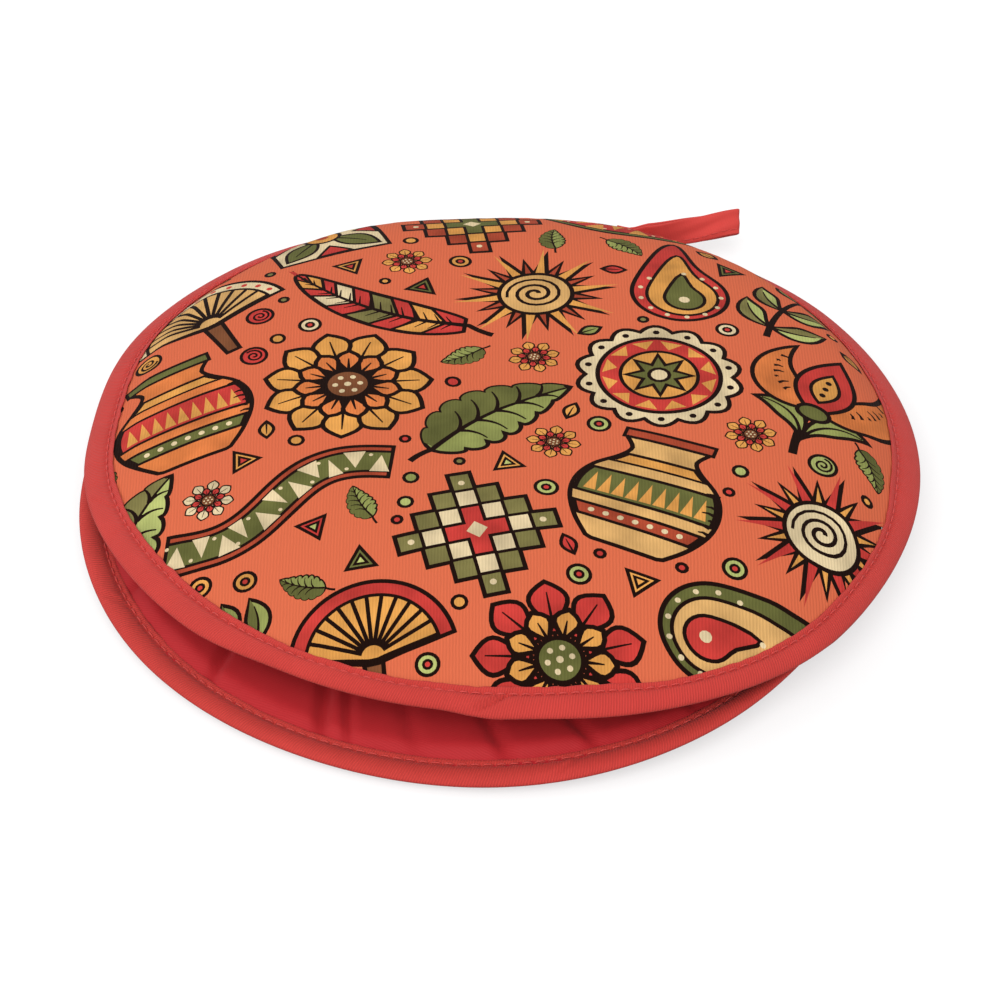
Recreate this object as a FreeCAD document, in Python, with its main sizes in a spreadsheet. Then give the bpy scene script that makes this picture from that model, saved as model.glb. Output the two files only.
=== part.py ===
"""Round padded cloth tortilla warmer.

Two quilted discs, each a cover, wadding and a lining bound at the edge with folded tape, are
stitched to each other round the back.  The front of the upper disc lifts as a flap, and a folded
tape hangs from the back seam.

Frame: millimetres, +Z up, origin in the middle of the flat underside, mouth towards -Y.
"""
import FreeCAD
import Part
import math
import os
import Sketcher

Vector = FreeCAD.Vector

# ---------------------------------------------------------------- driving dimensions (mm, deg)

DRIVING_DIMENSIONS = (
    ("rim_radius", 150.0),          # outer edge of the bound discs
    ("mouth_half_angle", 75.0),     # half of the arc that is left open at the front
    ("right_flat_depth", 1.5),      # three places where the hand-sewn edge runs a little
    ("right_flat_angle", 0.4),      # inside the circle: how far, where and how widely
    ("right_flat_width", 18.8),
    ("back_flat_depth", 4.2),
    ("back_flat_angle", 119.7),
    ("back_flat_width", 17.3),
    ("left_flat_depth", 4.1),
    ("left_flat_angle", 200.7),
    ("left_flat_width", 13.5),
    ("lower_flat_depth", 6.0),      # the lower disc is also tucked in under the upper one
    ("lower_flat_angle", -11.0),    # at the right corner of the mouth
    ("lower_flat_width", 16.0),
    ("seam_level", 19.7),           # edge of the upper disc, level with the origin
    ("seam_fall", 0.03),            # how much that edge drops per mm towards the back
    ("seam_dip", 3.0),              # and how much more in the middle of the back
    ("dip_start", 100.0),           # the dip starts this far behind the origin
    ("dip_turn", 18.0),             # and is deepest this far round to the left
    ("lip_lift", 3.2),              # the lip of the flap stands open by this
    ("crown_rise", 25.9),           # middle of the upper disc above its edge
    ("crown_power_back", 6.9),      # higher values put the fullness nearer the edge
    ("crown_power_front", 1.7),     # the same at the lip of the flap
    ("brim_back", 0.27),            # share of the fullness that is left beside the edge
    ("brim_front", 0.6),            # the same at the lip of the flap
    ("brim_width", 20.4),           # the pressed brim, from the edge inwards
    ("upper_lip_pull", 7.6),        # the loose lip of the upper disc draws in by this
    ("lower_lip_pull", -0.8),       # and that of the lower disc pushes out by this
    ("lower_lip_level", 4.1),       # edge of the lower disc at the front of the mouth
    ("bowl_power", 5.0),            # how late the lower disc turns up towards its edge
    ("sole_sink", 0.15),            # trims the underside to one flat face
    ("fabric", 0.6),                # cover and lining cloth
    ("play", 0.2),                  # air between two layers
    ("quilt_middle", 7.6),          # a whole disc, away from its edge
    ("quilt_edge", 2.6),            # a whole disc, pressed flat inside its tape
    ("quilt_swell", 45.0),          # width of the step between the two
    ("tape_width", 10.6),           # binding, from the edge inwards
    ("tape_height", 5.0),           # binding, over both of its plies
    ("tape_ply", 0.8),              # one ply of it
    ("tuck", 3.2),                  # the layers end this far inside the edge
    ("stack_gap", 0.3),             # between the two bindings
    ("stitch_inset", 8.3),          # topstitching, from the edge
    ("seam_inset", 0.9),            # thread of the closing seam, from the edge
    ("thread", 0.45),               # thickness of the thread
    ("thread_lift", 0.22),          # between the thread and the cloth under it
    ("fold_slit", 0.4),             # between the flap and the rest of the upper disc
    ("loop_width", 10.5),           # hanging loop: width of its tape
    ("loop_ply", 1.0),              # and thickness of one of its two plies
    ("loop_eye", 0.7),              # space between the plies
    ("loop_tail", 10.0),            # the length that is sewn to the edge
    ("loop_bend_radius", 10.0),     # the loop leaves along the seam and turns away from it
    ("loop_bend_angle", 33.0),
    ("loop_straight", 33.0),
    ("loop_slit", 0.4),
    ("loop_root_angle", 4.6),       # root of the loop, round from the middle of the back
    ("loop_level", 12.0),           # middle of the tape above the table
    ("loop_clear", 0.4),            # between the tape and the binding
    ("loop_hem", 1.6),              # stitching, from the lower edge of the tape
    ("tack_setback", 7.5),          # bar tack, from the root of the loop
    ("tack_length", 7.0),
    ("tack_bar", 0.4),
    ("tack_count", 4),
)

STATIONS = 25        # points that shape a curve along the edge of a disc
NOSE_SIDES = 3       # facets round the nose of a binding
PLY_SPANS = 3        # straight spans across each ply of a binding
SHEET_POINTS = 41    # samples along each side of a cloth surface
SHEET_MARGIN = 4.0   # how far a cloth surface runs past the rim
SEAM_END = 1.0       # degrees between an end of the closing seam and the corner of the mouth

doc = FreeCAD.newDocument("tortilla_warmer")
sheet = doc.addObject("Spreadsheet::Sheet", "dims")
for row, (alias, value) in enumerate(DRIVING_DIMENSIONS, start=1):
    sheet.set(f"A{row}", alias)
    sheet.set(f"B{row}", str(value))
    sheet.setAlias(f"B{row}", alias)
doc.recompute()


def dim(alias):
    return float(sheet.get(alias))


RIM = dim("rim_radius")
FOLD_Y = -RIM * math.cos(math.radians(dim("mouth_half_angle")))   # chord between mouth corners
QUILT_EDGE = dim("quilt_edge")
FABRIC = dim("fabric")
PLAY = dim("play")
RIGHT_FLAT, BACK_FLAT, LEFT_FLAT, LOWER_FLAT = (
    [dim(f"{place}_flat_{size}") for size in ("depth", "angle", "width")]
    for place in ("right", "back", "left", "lower"))
DIP_TURN = math.radians(dim("dip_turn"))


# ---------------------------------------------------------------- form of the two discs

def ease(share):
    """0 to 1 with level ends."""
    share = min(max(share, 0.0), 1.0)
    return share * share * (3.0 - 2.0 * share)


def mouth_share(y):
    """0 behind the chord between the mouth corners, 1 at the lip."""
    return ease((FOLD_Y - y) / (RIM + FOLD_Y))


def edge_radius(angle, disc):
    """Distance from the middle to a disc's edge, which draws in along the mouth and the flats."""
    radius = RIM - disc.pull * mouth_share(RIM * math.sin(angle))
    for depth, middle, width in disc.flats:
        away = (math.degrees(angle) - middle + 180.0) % 360.0 - 180.0
        radius -= depth * math.exp(-(away / width) ** 2)
    return radius


def reach(x, y, disc):
    """0 in the middle of a disc, 1 at its edge."""
    return math.hypot(x, y) / edge_radius(math.atan2(y, x), disc)


def raised(share, power):
    """A power of the share inside the edge, carried on straight outside it."""
    return share ** power if share < 1.0 else 1.0 + power * (share - 1.0)


def quilt(share):
    """Thickness of a disc, which swells inside the binding."""
    inside = RIM - dim("tape_width") - share * RIM
    swell = ease(inside / dim("quilt_swell"))
    return QUILT_EDGE + (dim("quilt_middle") - QUILT_EDGE) * swell


def sewn_level(x, y):
    """Level of the upper disc's edge where it is sewn, carried on over the whole disc."""
    behind = y * math.cos(DIP_TURN) - x * math.sin(DIP_TURN)
    dip = ease((behind - dim("dip_start")) / (RIM - dim("dip_start")))
    return dim("seam_level") - dim("seam_fall") * y - dim("seam_dip") * dip


def upper_edge_level(x, y):
    return sewn_level(x, y) + dim("lip_lift") * mouth_share(y)


def lower_edge_level(x, y):
    sewn = sewn_level(x, y) - dim("tape_height") - dim("stack_gap")
    mouth = mouth_share(y)
    return sewn * (1.0 - mouth) + dim("lower_lip_level") * mouth


class UpperDisc:
    """Domed disc; depth counts down from its outer face."""

    pull = dim("upper_lip_pull")
    flats = (RIGHT_FLAT, BACK_FLAT, LEFT_FLAT)

    @staticmethod
    def outer_face(x, y):
        share = reach(x, y, UpperDisc)
        power = dim("crown_power_front")
        power += (dim("crown_power_back") - power) * (RIM + y) / (2 * RIM)
        brim = dim("brim_front")
        brim += (dim("brim_back") - brim) * ease((RIM + y) / RIM)
        fullness = brim + (1.0 - brim) * ease((1.0 - share) * RIM / dim("brim_width"))
        dome = dim("crown_rise") * (1.0 - raised(share, power)) * fullness
        return upper_edge_level(x, y) + QUILT_EDGE / 2 + dome

    @staticmethod
    def level(x, y, depth, from_inside=False):
        if from_inside:
            depth = quilt(reach(x, y, UpperDisc)) - depth
        return UpperDisc.outer_face(x, y) - depth


class LowerDisc:
    """Shallow bowl that lies on the table; depth counts up from its outer face."""

    pull = dim("lower_lip_pull")
    flats = (RIGHT_FLAT, BACK_FLAT, LEFT_FLAT, LOWER_FLAT)

    @staticmethod
    def outer_face(x, y):
        share = reach(x, y, LowerDisc)
        rise = lower_edge_level(x, y) - QUILT_EDGE / 2 + dim("sole_sink")
        return rise * raised(share, dim("bowl_power")) - dim("sole_sink")

    @staticmethod
    def level(x, y, depth, from_inside=False):
        if from_inside:
            depth = quilt(reach(x, y, LowerDisc)) - depth
        return LowerDisc.outer_face(x, y) + depth


# ---------------------------------------------------------------- solids from those forms

def cloth_surface(height):
    """Smooth square sheet z = height(x, y) that covers a disc."""
    half = RIM + SHEET_MARGIN
    pitch = 2 * half / (SHEET_POINTS - 1)
    ticks = [pitch * i - half for i in range(SHEET_POINTS)]
    surface = Part.BSplineSurface()
    levels = [[height(x, y) for y in ticks] for x in ticks]
    surface.interpolate(levels, -half, pitch, -half, pitch)
    return surface.toShape()


def closed_solid(faces):
    shell = Part.makeShell(faces)
    shell.sewShape()
    solid = Part.makeSolid(shell)
    if solid.Volume < 0:
        solid.reverse()
    return solid


def between(lower, upper):
    """Solid between two cloth surfaces over the same square."""
    sides = [Part.makeRuledSurface(a, b) for a, b in zip(lower.Edges, upper.Edges)]
    return closed_solid([lower, upper] + sides)


def disc_column(disc):
    """Upright prism inside which a disc's layers are cut out."""
    points = []
    count = 2 * STATIONS
    for i in range(count):
        angle = 2.0 * math.pi * i / count
        radius = edge_radius(angle, disc) - dim("tuck")
        points.append(Vector(radius * math.cos(angle), radius * math.sin(angle), 0.0))
    outline = Part.BSplineCurve()
    outline.interpolate(Points=points, PeriodicFlag=True)
    face = Part.Face(Part.Wire(outline.toShape()))
    return face.extrude(Vector(0, 0, 2 * dim("crown_rise") + dim("seam_level")))


def layer(disc, start, end):
    """One layer of a disc; start and end are (depth, from_inside)."""
    surfaces = [cloth_surface(lambda x, y, d=d: disc.level(x, y, *d)) for d in (start, end)]
    surfaces.sort(key=lambda face: face.CenterOfMass.z)
    return between(*surfaces).common(disc_column(disc))


def edge_point(disc, angle, inset, offset):
    """Point of a binding: inset from the edge, offset from the disc's middle surface."""
    radius = edge_radius(angle, disc) - inset
    x = radius * math.cos(angle)
    y = radius * math.sin(angle)
    return Vector(x, y, disc.level(x, y, QUILT_EDGE / 2) + offset)


def rail(disc, spot, first, last):
    """Curve along the edge of a disc between two angles in degrees, at one spot of a section."""
    step = (last - first) / (STATIONS - 1)
    curve = Part.BSplineCurve()
    curve.interpolate([edge_point(disc, math.radians(first + step * i), *spot)
                       for i in range(STATIONS)])
    return curve.toShape()


def swept(disc, outline, first, last):
    """Solid with a closed polygon of (inset, offset) spots as its section."""
    rails = [rail(disc, spot, first, last) for spot in outline]
    sides = [Part.makeRuledSurface(*pair) for pair in zip(rails, rails[1:] + rails[:1])]
    caps = []
    for end in ("firstVertex", "lastVertex"):
        corners = [getattr(edge, end)().Point for edge in rails]
        caps.append(Part.Face(Part.makePolygon(corners + corners[:1])))
    return closed_solid(sides + caps)


def hairpin(start, end, height):
    """Spots round a U that is open inwards, with a blunt round nose."""
    half = height / 2
    turns = [math.pi * i / NOSE_SIDES for i in range(NOSE_SIDES + 1)]
    nose = [(end + half - half * math.sin(turn), half * math.cos(turn)) for turn in turns]
    span = (start - end - half) / PLY_SPANS
    upper = [(start - span * i, half) for i in range(PLY_SPANS)]
    return upper + nose + [(inset, -half) for inset, _ in reversed(upper)]


def binding(disc, first, last):
    """Tape folded over a disc's edge."""
    width = dim("tape_width")
    ply = dim("tape_ply")
    outside = hairpin(width, 0.0, dim("tape_height"))
    inside = hairpin(width, ply, dim("tape_height") - 2 * ply)
    return swept(disc, outside + list(reversed(inside)), first, last)


def square_thread(inset, offset):
    half = dim("thread") / 2
    return [(inset - half, offset - half), (inset + half, offset - half),
            (inset + half, offset + half), (inset - half, offset + half)]


def thread_row(disc, side, first, last):
    """Line of topstitching on one face of a binding; side is 1 above and -1 below."""
    offset = dim("tape_height") / 2 + dim("thread_lift") + dim("thread") / 2
    return swept(disc, square_thread(dim("stitch_inset"), side * offset), first, last)


def seam_row():
    """Thread that closes the seam, in the groove between the two bindings."""
    drop = (dim("tape_height") + dim("stack_gap")) / 2
    first = dim("mouth_half_angle") - 90.0 + SEAM_END
    outline = square_thread(dim("seam_inset"), -drop)
    return swept(UpperDisc, outline, first, 180.0 - first)


# ---------------------------------------------------------------- document objects

def add_shape(name, shape):
    feature = doc.addObject("Part::Feature", name)
    feature.Shape = shape
    feature.Placement = FreeCAD.Placement()
    return feature


def side_of_fold(name, start, length):
    """Block on one side of the fold line; start and length are expressions along Y."""
    block = doc.addObject("Part::Box", name)
    for key, formula in (("Length", "4 * dims.rim_radius"), ("Width", length),
                         ("Height", "dims.rim_radius"),
                         ("Placement.Base.x", "-2 * dims.rim_radius"),
                         ("Placement.Base.y", start),
                         ("Placement.Base.z", "-dims.rim_radius / 4")):
        block.setExpression(key, formula)
    return block


def part_of(name, whole, block):
    piece = doc.addObject("Part::Common", name)
    piece.Base = whole
    piece.Tool = block
    return piece


FOLD = "-dims.rim_radius * cos(dims.mouth_half_angle * 1deg)"
flap_side = side_of_fold("flap_side", f"{FOLD} - dims.fold_slit - 2 * dims.rim_radius",
                         "2 * dims.rim_radius")
rear_side = side_of_fold("rear_side", FOLD, "2 * dims.rim_radius")

LAYERS = {
    "cover": ((0.0, False), (FABRIC, False)),
    "wadding": ((FABRIC + PLAY, False), (FABRIC + PLAY, True)),
    "lining": ((FABRIC, True), (0.0, True)),
}
REAR_SPAN = (-30.0, 210.0)      # degrees; both run past the fold, where the blocks end them
FRONT_SPAN = (185.0, 355.0)
sub_parts = []

for kind, (start, end) in LAYERS.items():
    whole = add_shape(f"whole_top_{kind}", layer(UpperDisc, start, end))
    sub_parts.append(part_of(f"top_{kind}_rear", whole, rear_side))
    sub_parts.append(part_of(f"top_{kind}_flap", whole, flap_side))

for place, block, span in (("rear", rear_side, REAR_SPAN), ("flap", flap_side, FRONT_SPAN)):
    tape = add_shape(f"long_binding_{place}", binding(UpperDisc, *span))
    sub_parts.append(part_of(f"top_binding_{place}", tape, block))
    rows = Part.makeCompound([thread_row(UpperDisc, side, *span) for side in (1, -1)])
    thread = add_shape(f"long_stitching_{place}", rows)
    sub_parts.append(part_of(f"top_stitching_{place}", thread, block))

above_table = doc.addObject("Part::Box", "above_table")
for key, formula in (("Length", "4 * dims.rim_radius"), ("Width", "4 * dims.rim_radius"),
                     ("Height", "dims.rim_radius"),
                     ("Placement.Base.x", "-2 * dims.rim_radius"),
                     ("Placement.Base.y", "-2 * dims.rim_radius")):
    above_table.setExpression(key, formula)
sole = add_shape("whole_bottom_cover", layer(LowerDisc, *LAYERS["cover"]))
sub_parts.append(part_of("bottom_cover", sole, above_table))
for kind in ("wadding", "lining"):
    sub_parts.append(add_shape(f"bottom_{kind}", layer(LowerDisc, *LAYERS[kind])))
halves = ((-90.0, 90.0), (90.0, 270.0))
tape = [binding(LowerDisc, *span) for span in halves]
sub_parts.append(add_shape("bottom_binding", tape[0].fuse(tape[1])))
rows = [[thread_row(LowerDisc, side, *span) for span in halves] for side in (1, -1)]
rows = Part.makeCompound([right.fuse(left) for right, left in rows])
sub_parts.append(add_shape("bottom_stitching", rows))
sub_parts.append(add_shape("closing_seam", seam_row()))

# ---------------------------------------------------------------- hanging loop

def start_body(name):
    body = doc.addObject("PartDesign::Body", name)
    sub_parts.append(body)
    return body


def start_sketch(body, name, role):
    """Sketch on one of the body's own origin planes."""
    sketch = body.newObject("Sketcher::SketchObject", name)
    plane = next(item for item in body.Origin.OriginFeatures if item.Role == role)
    sketch.AttachmentSupport = (plane, [""])
    sketch.MapMode = "FlatFace"
    return sketch


def value_of(formula):
    return float(sheet.evalExpression(formula))


def size_constraint(sketch, kind, places, formula):
    """Adds a driving constraint bound to the sheet."""
    value = value_of(formula)
    index = sketch.addConstraint(Sketcher.Constraint(kind, *places, value))
    sketch.setExpression(f"Constraints[{index}]", formula)


def draw_rectangle(sketch, left, low, wide, tall):
    """Rectangle whose left and low edges and sizes are expressions."""
    x, y, width, height = (value_of(formula) for formula in (left, low, wide, tall))
    corners = [Vector(x, y), Vector(x + width, y), Vector(x + width, y + height),
               Vector(x, y + height)]
    first = sketch.GeometryCount
    for i in range(4):
        sketch.addGeometry(Part.LineSegment(corners[i], corners[(i + 1) % 4]), False)
    for i in range(4):
        ends = (first + i, 2, first + (i + 1) % 4, 1)
        sketch.addConstraint(Sketcher.Constraint("Coincident", *ends))
        kind = "Vertical" if i % 2 else "Horizontal"
        sketch.addConstraint(Sketcher.Constraint(kind, first + i))
    size_constraint(sketch, "DistanceX", (first, 1, first, 2), wide)
    size_constraint(sketch, "DistanceY", (first + 1, 1, first + 1, 2), tall)
    for kind, value, formula in (("DistanceX", x, left), ("DistanceY", y, low)):
        if value:
            size_constraint(sketch, kind, (-1, 1, first, 1), formula)
        else:
            line = -2 if kind == "DistanceX" else -1
            sketch.addConstraint(Sketcher.Constraint("PointOnObject", first, 1, line))


def bent_hairpin(body, spread):
    """Path along the seam, round a bend, out to a fold and back; spread is half its width."""
    sketch = start_sketch(body, body.Name + "_path", "XY_Plane")
    half = value_of(spread)
    bend = dim("loop_bend_radius")
    turn = math.radians(dim("loop_bend_angle") - 90.0)
    out = Vector(-math.sin(turn), math.cos(turn))
    side = Vector(math.cos(turn), math.sin(turn))
    centre = Vector(0, bend)
    fold = centre + side * bend + out * dim("loop_straight")
    axis = Vector(0, 0, 1)
    start = -math.pi / 2
    outer = Part.ArcOfCircle(Part.Circle(centre, axis, bend + half), start, turn)
    inner = Part.ArcOfCircle(Part.Circle(centre, axis, bend - half), start, turn)
    there = Part.LineSegment(centre + side * (bend + half), fold + side * half)
    back = Part.LineSegment(fold - side * half, centre + side * (bend - half))
    nose = Part.ArcOfCircle(Part.Circle(fold, axis, half), turn, turn + math.pi)
    for piece in (outer, there, nose, back, inner):
        sketch.addGeometry(piece, False)
    rules = (("Tangent", 0, 2, 1, 1), ("Tangent", 1, 2, 2, 1), ("Tangent", 2, 2, 3, 1),
             ("Tangent", 3, 2, 4, 2), ("Coincident", 0, 3, 4, 3), ("PointOnObject", 0, 3, -2),
             ("PointOnObject", 0, 1, -2), ("PointOnObject", 4, 1, -2))
    for kind, *places in rules:
        sketch.addConstraint(Sketcher.Constraint(kind, *places))
    size_constraint(sketch, "DistanceY", (-1, 1, 0, 3), "dims.loop_bend_radius")
    size_constraint(sketch, "Radius", (4,), f"dims.loop_bend_radius - ({spread})")
    size_constraint(sketch, "Distance", (1,), "dims.loop_straight")
    index = sketch.addConstraint(Sketcher.Constraint("Angle", 1, math.pi / 2 + turn))
    sketch.setExpression(f"Constraints[{index}]", "dims.loop_bend_angle * 1deg")
    return sketch


def bent_ribbon(name, spread, thick, low, tall):
    """Ribbon that stands on edge along a bent hairpin path."""
    body = start_body(name)
    path = bent_hairpin(body, spread)
    section = start_sketch(body, name + "_section", "YZ_Plane")
    draw_rectangle(section, f"-({spread}) - ({thick}) / 2", low, thick, tall)
    doc.recompute()
    pipe = body.newObject("PartDesign::AdditivePipe", name + "_pipe")
    pipe.Profile = section
    pipe.Spine = (path, [f"Edge{i + 1}" for i in range(5)])
    place_loop_body(body, "dims.loop_slit / 2", "0", "dims.loop_level - dims.loop_width / 2")


def place_loop_body(body, along, outward, level):
    """Turns a body to the seam at the root of the loop and shifts it along and out from it."""
    turn = "dims.loop_root_angle * 1deg"
    from_flat = "(90 + dims.loop_root_angle - dims.back_flat_angle) / dims.back_flat_width"
    middle = (f"dims.rim_radius - dims.back_flat_depth / exp(({from_flat}) ^ 2)"
              " + dims.loop_clear + dims.loop_ply + dims.loop_eye / 2")
    upright = FreeCAD.Rotation(Vector(0, 0, 1), 1.0)    # sets the axis; the sheet sets the angle
    body.Placement = FreeCAD.Placement(Vector(), upright)
    body.setExpression("Placement.Rotation.Angle", turn)
    body.setExpression("Placement.Base.x", f"({along}) * cos({turn})"
                                           f" - ({middle} + {outward}) * sin({turn})")
    body.setExpression("Placement.Base.y", f"({along}) * sin({turn})"
                                           f" + ({middle} + {outward}) * cos({turn})")
    body.setExpression("Placement.Base.z", level)


def loop_tail():
    """The sewn end: both plies with the slot between them."""
    body = start_body("loop_tail")
    outline = start_sketch(body, "tail_outline", "XY_Plane")
    stack = "2 * dims.loop_ply + dims.loop_eye"
    draw_rectangle(outline, "-dims.loop_tail", f"-({stack}) / 2", "dims.loop_tail", stack)
    pad = body.newObject("PartDesign::Pad", "tail_pad")
    pad.Profile = outline
    pad.setExpression("Length", "dims.loop_width")
    doc.recompute()
    slot = start_sketch(body, "tail_slot", "XY_Plane")
    draw_rectangle(slot, "dims.loop_ply - dims.loop_tail", "-dims.loop_eye / 2",
                   "dims.loop_tail", "dims.loop_eye")
    cut = body.newObject("PartDesign::Pocket", "tail_cut")
    cut.Profile = slot
    cut.Reversed = True
    cut.setExpression("Length", "dims.loop_width")
    place_loop_body(body, "-dims.loop_slit / 2", "0", "dims.loop_level - dims.loop_width / 2")


def bar_tack():
    """Satin bars of thread over the sewn end."""
    body = start_body("bar_tack")
    pitch = "2 * dims.tack_bar"
    ground = start_sketch(body, "tack_ground", "XZ_Plane")
    draw_rectangle(ground, "0", "0", f"dims.tack_count * {pitch} - dims.tack_bar",
                   "dims.tack_length")
    pad = body.newObject("PartDesign::Pad", "tack_pad")
    pad.Profile = ground
    pad.Reversed = True
    pad.setExpression("Length", "dims.thread / 2")
    doc.recompute()
    bar = start_sketch(body, "tack_bar", "XZ_Plane")
    draw_rectangle(bar, "0", "0", "dims.tack_bar", "dims.tack_length")
    ridge = body.newObject("PartDesign::Pad", "tack_ridge")
    ridge.Profile = bar
    ridge.Reversed = True
    ridge.setExpression("Length", "dims.thread")
    doc.recompute()
    row = body.newObject("PartDesign::LinearPattern", "tack_row")
    row.Originals = [ridge]
    row.Direction = (bar, ["H_Axis"])
    row.setExpression("Occurrences", "dims.tack_count")
    row.setExpression("Length", f"(dims.tack_count - 1) * {pitch}")
    body.Tip = row
    place_loop_body(body, "-dims.tack_setback",
                    "dims.loop_ply + dims.loop_eye / 2 + dims.thread_lift",
                    "dims.loop_level - dims.tack_length / 2")


PLY_CENTRE = "(dims.loop_ply + dims.loop_eye) / 2"
bent_ribbon("hanging_loop", PLY_CENTRE, "dims.loop_ply", "0", "dims.loop_width")
bent_ribbon("loop_stitching", "dims.loop_ply + dims.loop_eye / 2 + dims.thread_lift"
            " + dims.thread / 2", "dims.thread", "dims.loop_hem", "dims.thread")
loop_tail()
bar_tack()

# ---------------------------------------------------------------- check and write

doc.recompute()
failed = [item.Name for item in doc.Objects if {"Invalid", "Error"} & set(item.State)]
if failed:
    raise RuntimeError(f"failed objects: {failed}")
os.makedirs("parts", exist_ok=True)
for part in sub_parts:
    if part.Shape.isNull() or not part.Shape.isValid() or not part.Shape.Solids:
        raise RuntimeError(f"bad shape: {part.Label}")
    part.Shape.exportStep(f"parts/{part.Label}.step")
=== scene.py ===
"""Quilted cloth tortilla warmer: two padded discs bound in red tape and sewn to each other round
the back, with an open mouth in front and a folded tape to hang it by.

The camera and the table are in metres.  From the two discs on, lengths are in millimetres, and
make_piece() turns them to metres.  A flat drawing uses complex numbers, x + y * 1j, so that a
motif is turned and scaled by one multiplication.
"""

import cmath
import math
import random

import bpy
import numpy as np
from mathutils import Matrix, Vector, kdtree, noise
from mathutils.geometry import delaunay_2d_cdt


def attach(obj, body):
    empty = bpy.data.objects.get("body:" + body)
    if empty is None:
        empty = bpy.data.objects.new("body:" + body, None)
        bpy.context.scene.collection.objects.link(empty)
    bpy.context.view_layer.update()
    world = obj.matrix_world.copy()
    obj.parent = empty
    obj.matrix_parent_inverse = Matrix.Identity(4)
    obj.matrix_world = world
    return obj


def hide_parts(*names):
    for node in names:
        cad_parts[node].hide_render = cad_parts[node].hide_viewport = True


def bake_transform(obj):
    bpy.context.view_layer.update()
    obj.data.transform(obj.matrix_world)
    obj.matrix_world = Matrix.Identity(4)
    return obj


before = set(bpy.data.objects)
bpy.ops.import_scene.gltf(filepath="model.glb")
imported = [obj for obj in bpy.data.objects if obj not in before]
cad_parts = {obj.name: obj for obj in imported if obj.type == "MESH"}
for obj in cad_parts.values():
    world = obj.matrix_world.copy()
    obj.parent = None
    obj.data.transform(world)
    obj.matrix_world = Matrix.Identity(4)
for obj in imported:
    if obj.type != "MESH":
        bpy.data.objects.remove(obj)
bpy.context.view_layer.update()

MM = 0.001
TURN = 2 * math.pi

# ------------------------------------------------------------------ camera, table top and light


def set_up_camera():
    """A long lens, from the front right and well above."""
    azimuth, elevation = math.radians(26.4), math.radians(40.5)
    aim, distance = Vector((0.0132, -0.0245, 0.020)), 1.0
    back = Vector((math.sin(azimuth) * math.cos(elevation),
                   -math.cos(azimuth) * math.cos(elevation), math.sin(elevation)))
    camera = bpy.data.objects.new("camera", bpy.data.cameras.new("camera"))
    camera.data.lens = 103.5
    camera.data.sensor_width = 36
    camera.location = aim + distance * back
    camera.rotation_euler = back.to_track_quat("Z", "Y").to_euler()
    bpy.context.scene.collection.objects.link(camera)
    bpy.context.scene.camera = camera


set_up_camera()
bpy.context.scene.view_settings.view_transform = "Standard"


def linear(hex_colour):
    """A colour such as "#E2744F" as the linear red, green, blue and alpha that a node takes."""
    parts = [int(hex_colour[i:i + 2], 16) / 255 for i in (1, 3, 5)]
    return [c / 12.92 if c <= 0.04045 else ((c + 0.055) / 1.055) ** 2.4 for c in parts] + [1.0]


def add_node(material, kind, inputs=None, **settings):
    """Adds a node to a material or world; an input's value is a number, a colour or a socket."""
    tree = material.node_tree
    made = tree.nodes.new("ShaderNode" + kind)
    for key, value in settings.items():
        setattr(made, key, value)
    for key, value in (inputs or {}).items():
        if isinstance(value, bpy.types.NodeSocket):
            tree.links.new(value, made.inputs[key])
        else:
            made.inputs[key].default_value = value
    return made


def new_material(name):
    """An empty node material."""
    material = bpy.data.materials.new(name)
    material.use_nodes = True
    material.node_tree.nodes.clear()
    return material


def painted_table():
    """Matt white paint, sprayed smooth: an even pale ground that keeps a soft shadow.  It is
    greyer to light than to the eye, so that it doesn't fill the shade inside the pouch, and to
    the eye alone it glows a little, so that the shadow stays light."""
    grey_to_light, white_to_the_eye, glow_share = 0.4, 0.97, 0.55
    material = new_material("painted_table")
    seen = add_node(material, "LightPath")
    tone = add_node(material, "MapRange", {0: seen.outputs["Is Camera Ray"],
                                           3: grey_to_light, 4: white_to_the_eye})
    paint = add_node(material, "BsdfDiffuse", {"Color": tone.outputs[0], "Roughness": 0.5})
    glow = add_node(material, "Emission", {"Color": (1, 1, 1, 1), "Strength": 1.0})
    share = add_node(material, "Math", {0: seen.outputs["Is Camera Ray"], 1: glow_share},
                     operation="MULTIPLY")
    mixed = add_node(material, "MixShader", {0: share.outputs[0], 1: paint.outputs[0],
                                             2: glow.outputs[0]})
    add_node(material, "OutputMaterial", {"Surface": mixed.outputs[0]})
    return material


def set_up_light():
    """An even white room, a broad lamp from the front and a weaker one from the left."""
    room_light = 0.68
    world = bpy.data.worlds.new("studio")
    world.use_nodes = True
    world.node_tree.nodes.clear()
    seen = add_node(world, "LightPath")
    direct = add_node(world, "Math", {0: seen.outputs["Is Camera Ray"],
                                      1: seen.outputs["Is Glossy Ray"]}, operation="MAXIMUM")
    direct = add_node(world, "Math", {0: direct.outputs[0],
                                      1: seen.outputs["Is Transmission Ray"]},
                      operation="MAXIMUM")
    room = add_node(world, "Background", {"Color": (1, 1, 1, 1), "Strength": room_light})
    white = add_node(world, "Background", {"Color": (1, 1, 1, 1), "Strength": 1.0})
    mixed = add_node(world, "MixShader", {0: direct.outputs[0], 1: room.outputs[0],
                                          2: white.outputs[0]})
    add_node(world, "OutputWorld", {"Surface": mixed.outputs[0]})
    bpy.context.scene.world = world

    for name, energy, spread, way in (("front lamp", 1.75, 50, (0.3, -0.9, 1.1)),
                                      ("side lamp", 0.6, 50, (-0.9, -0.5, 0.5))):
        lamp = bpy.data.objects.new(name, bpy.data.lights.new(name, "SUN"))
        lamp.data.energy = energy
        lamp.data.angle = math.radians(spread)
        lamp.rotation_euler = Vector(way).to_track_quat("Z", "Y").to_euler()
        bpy.context.scene.collection.objects.link(lamp)


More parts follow.
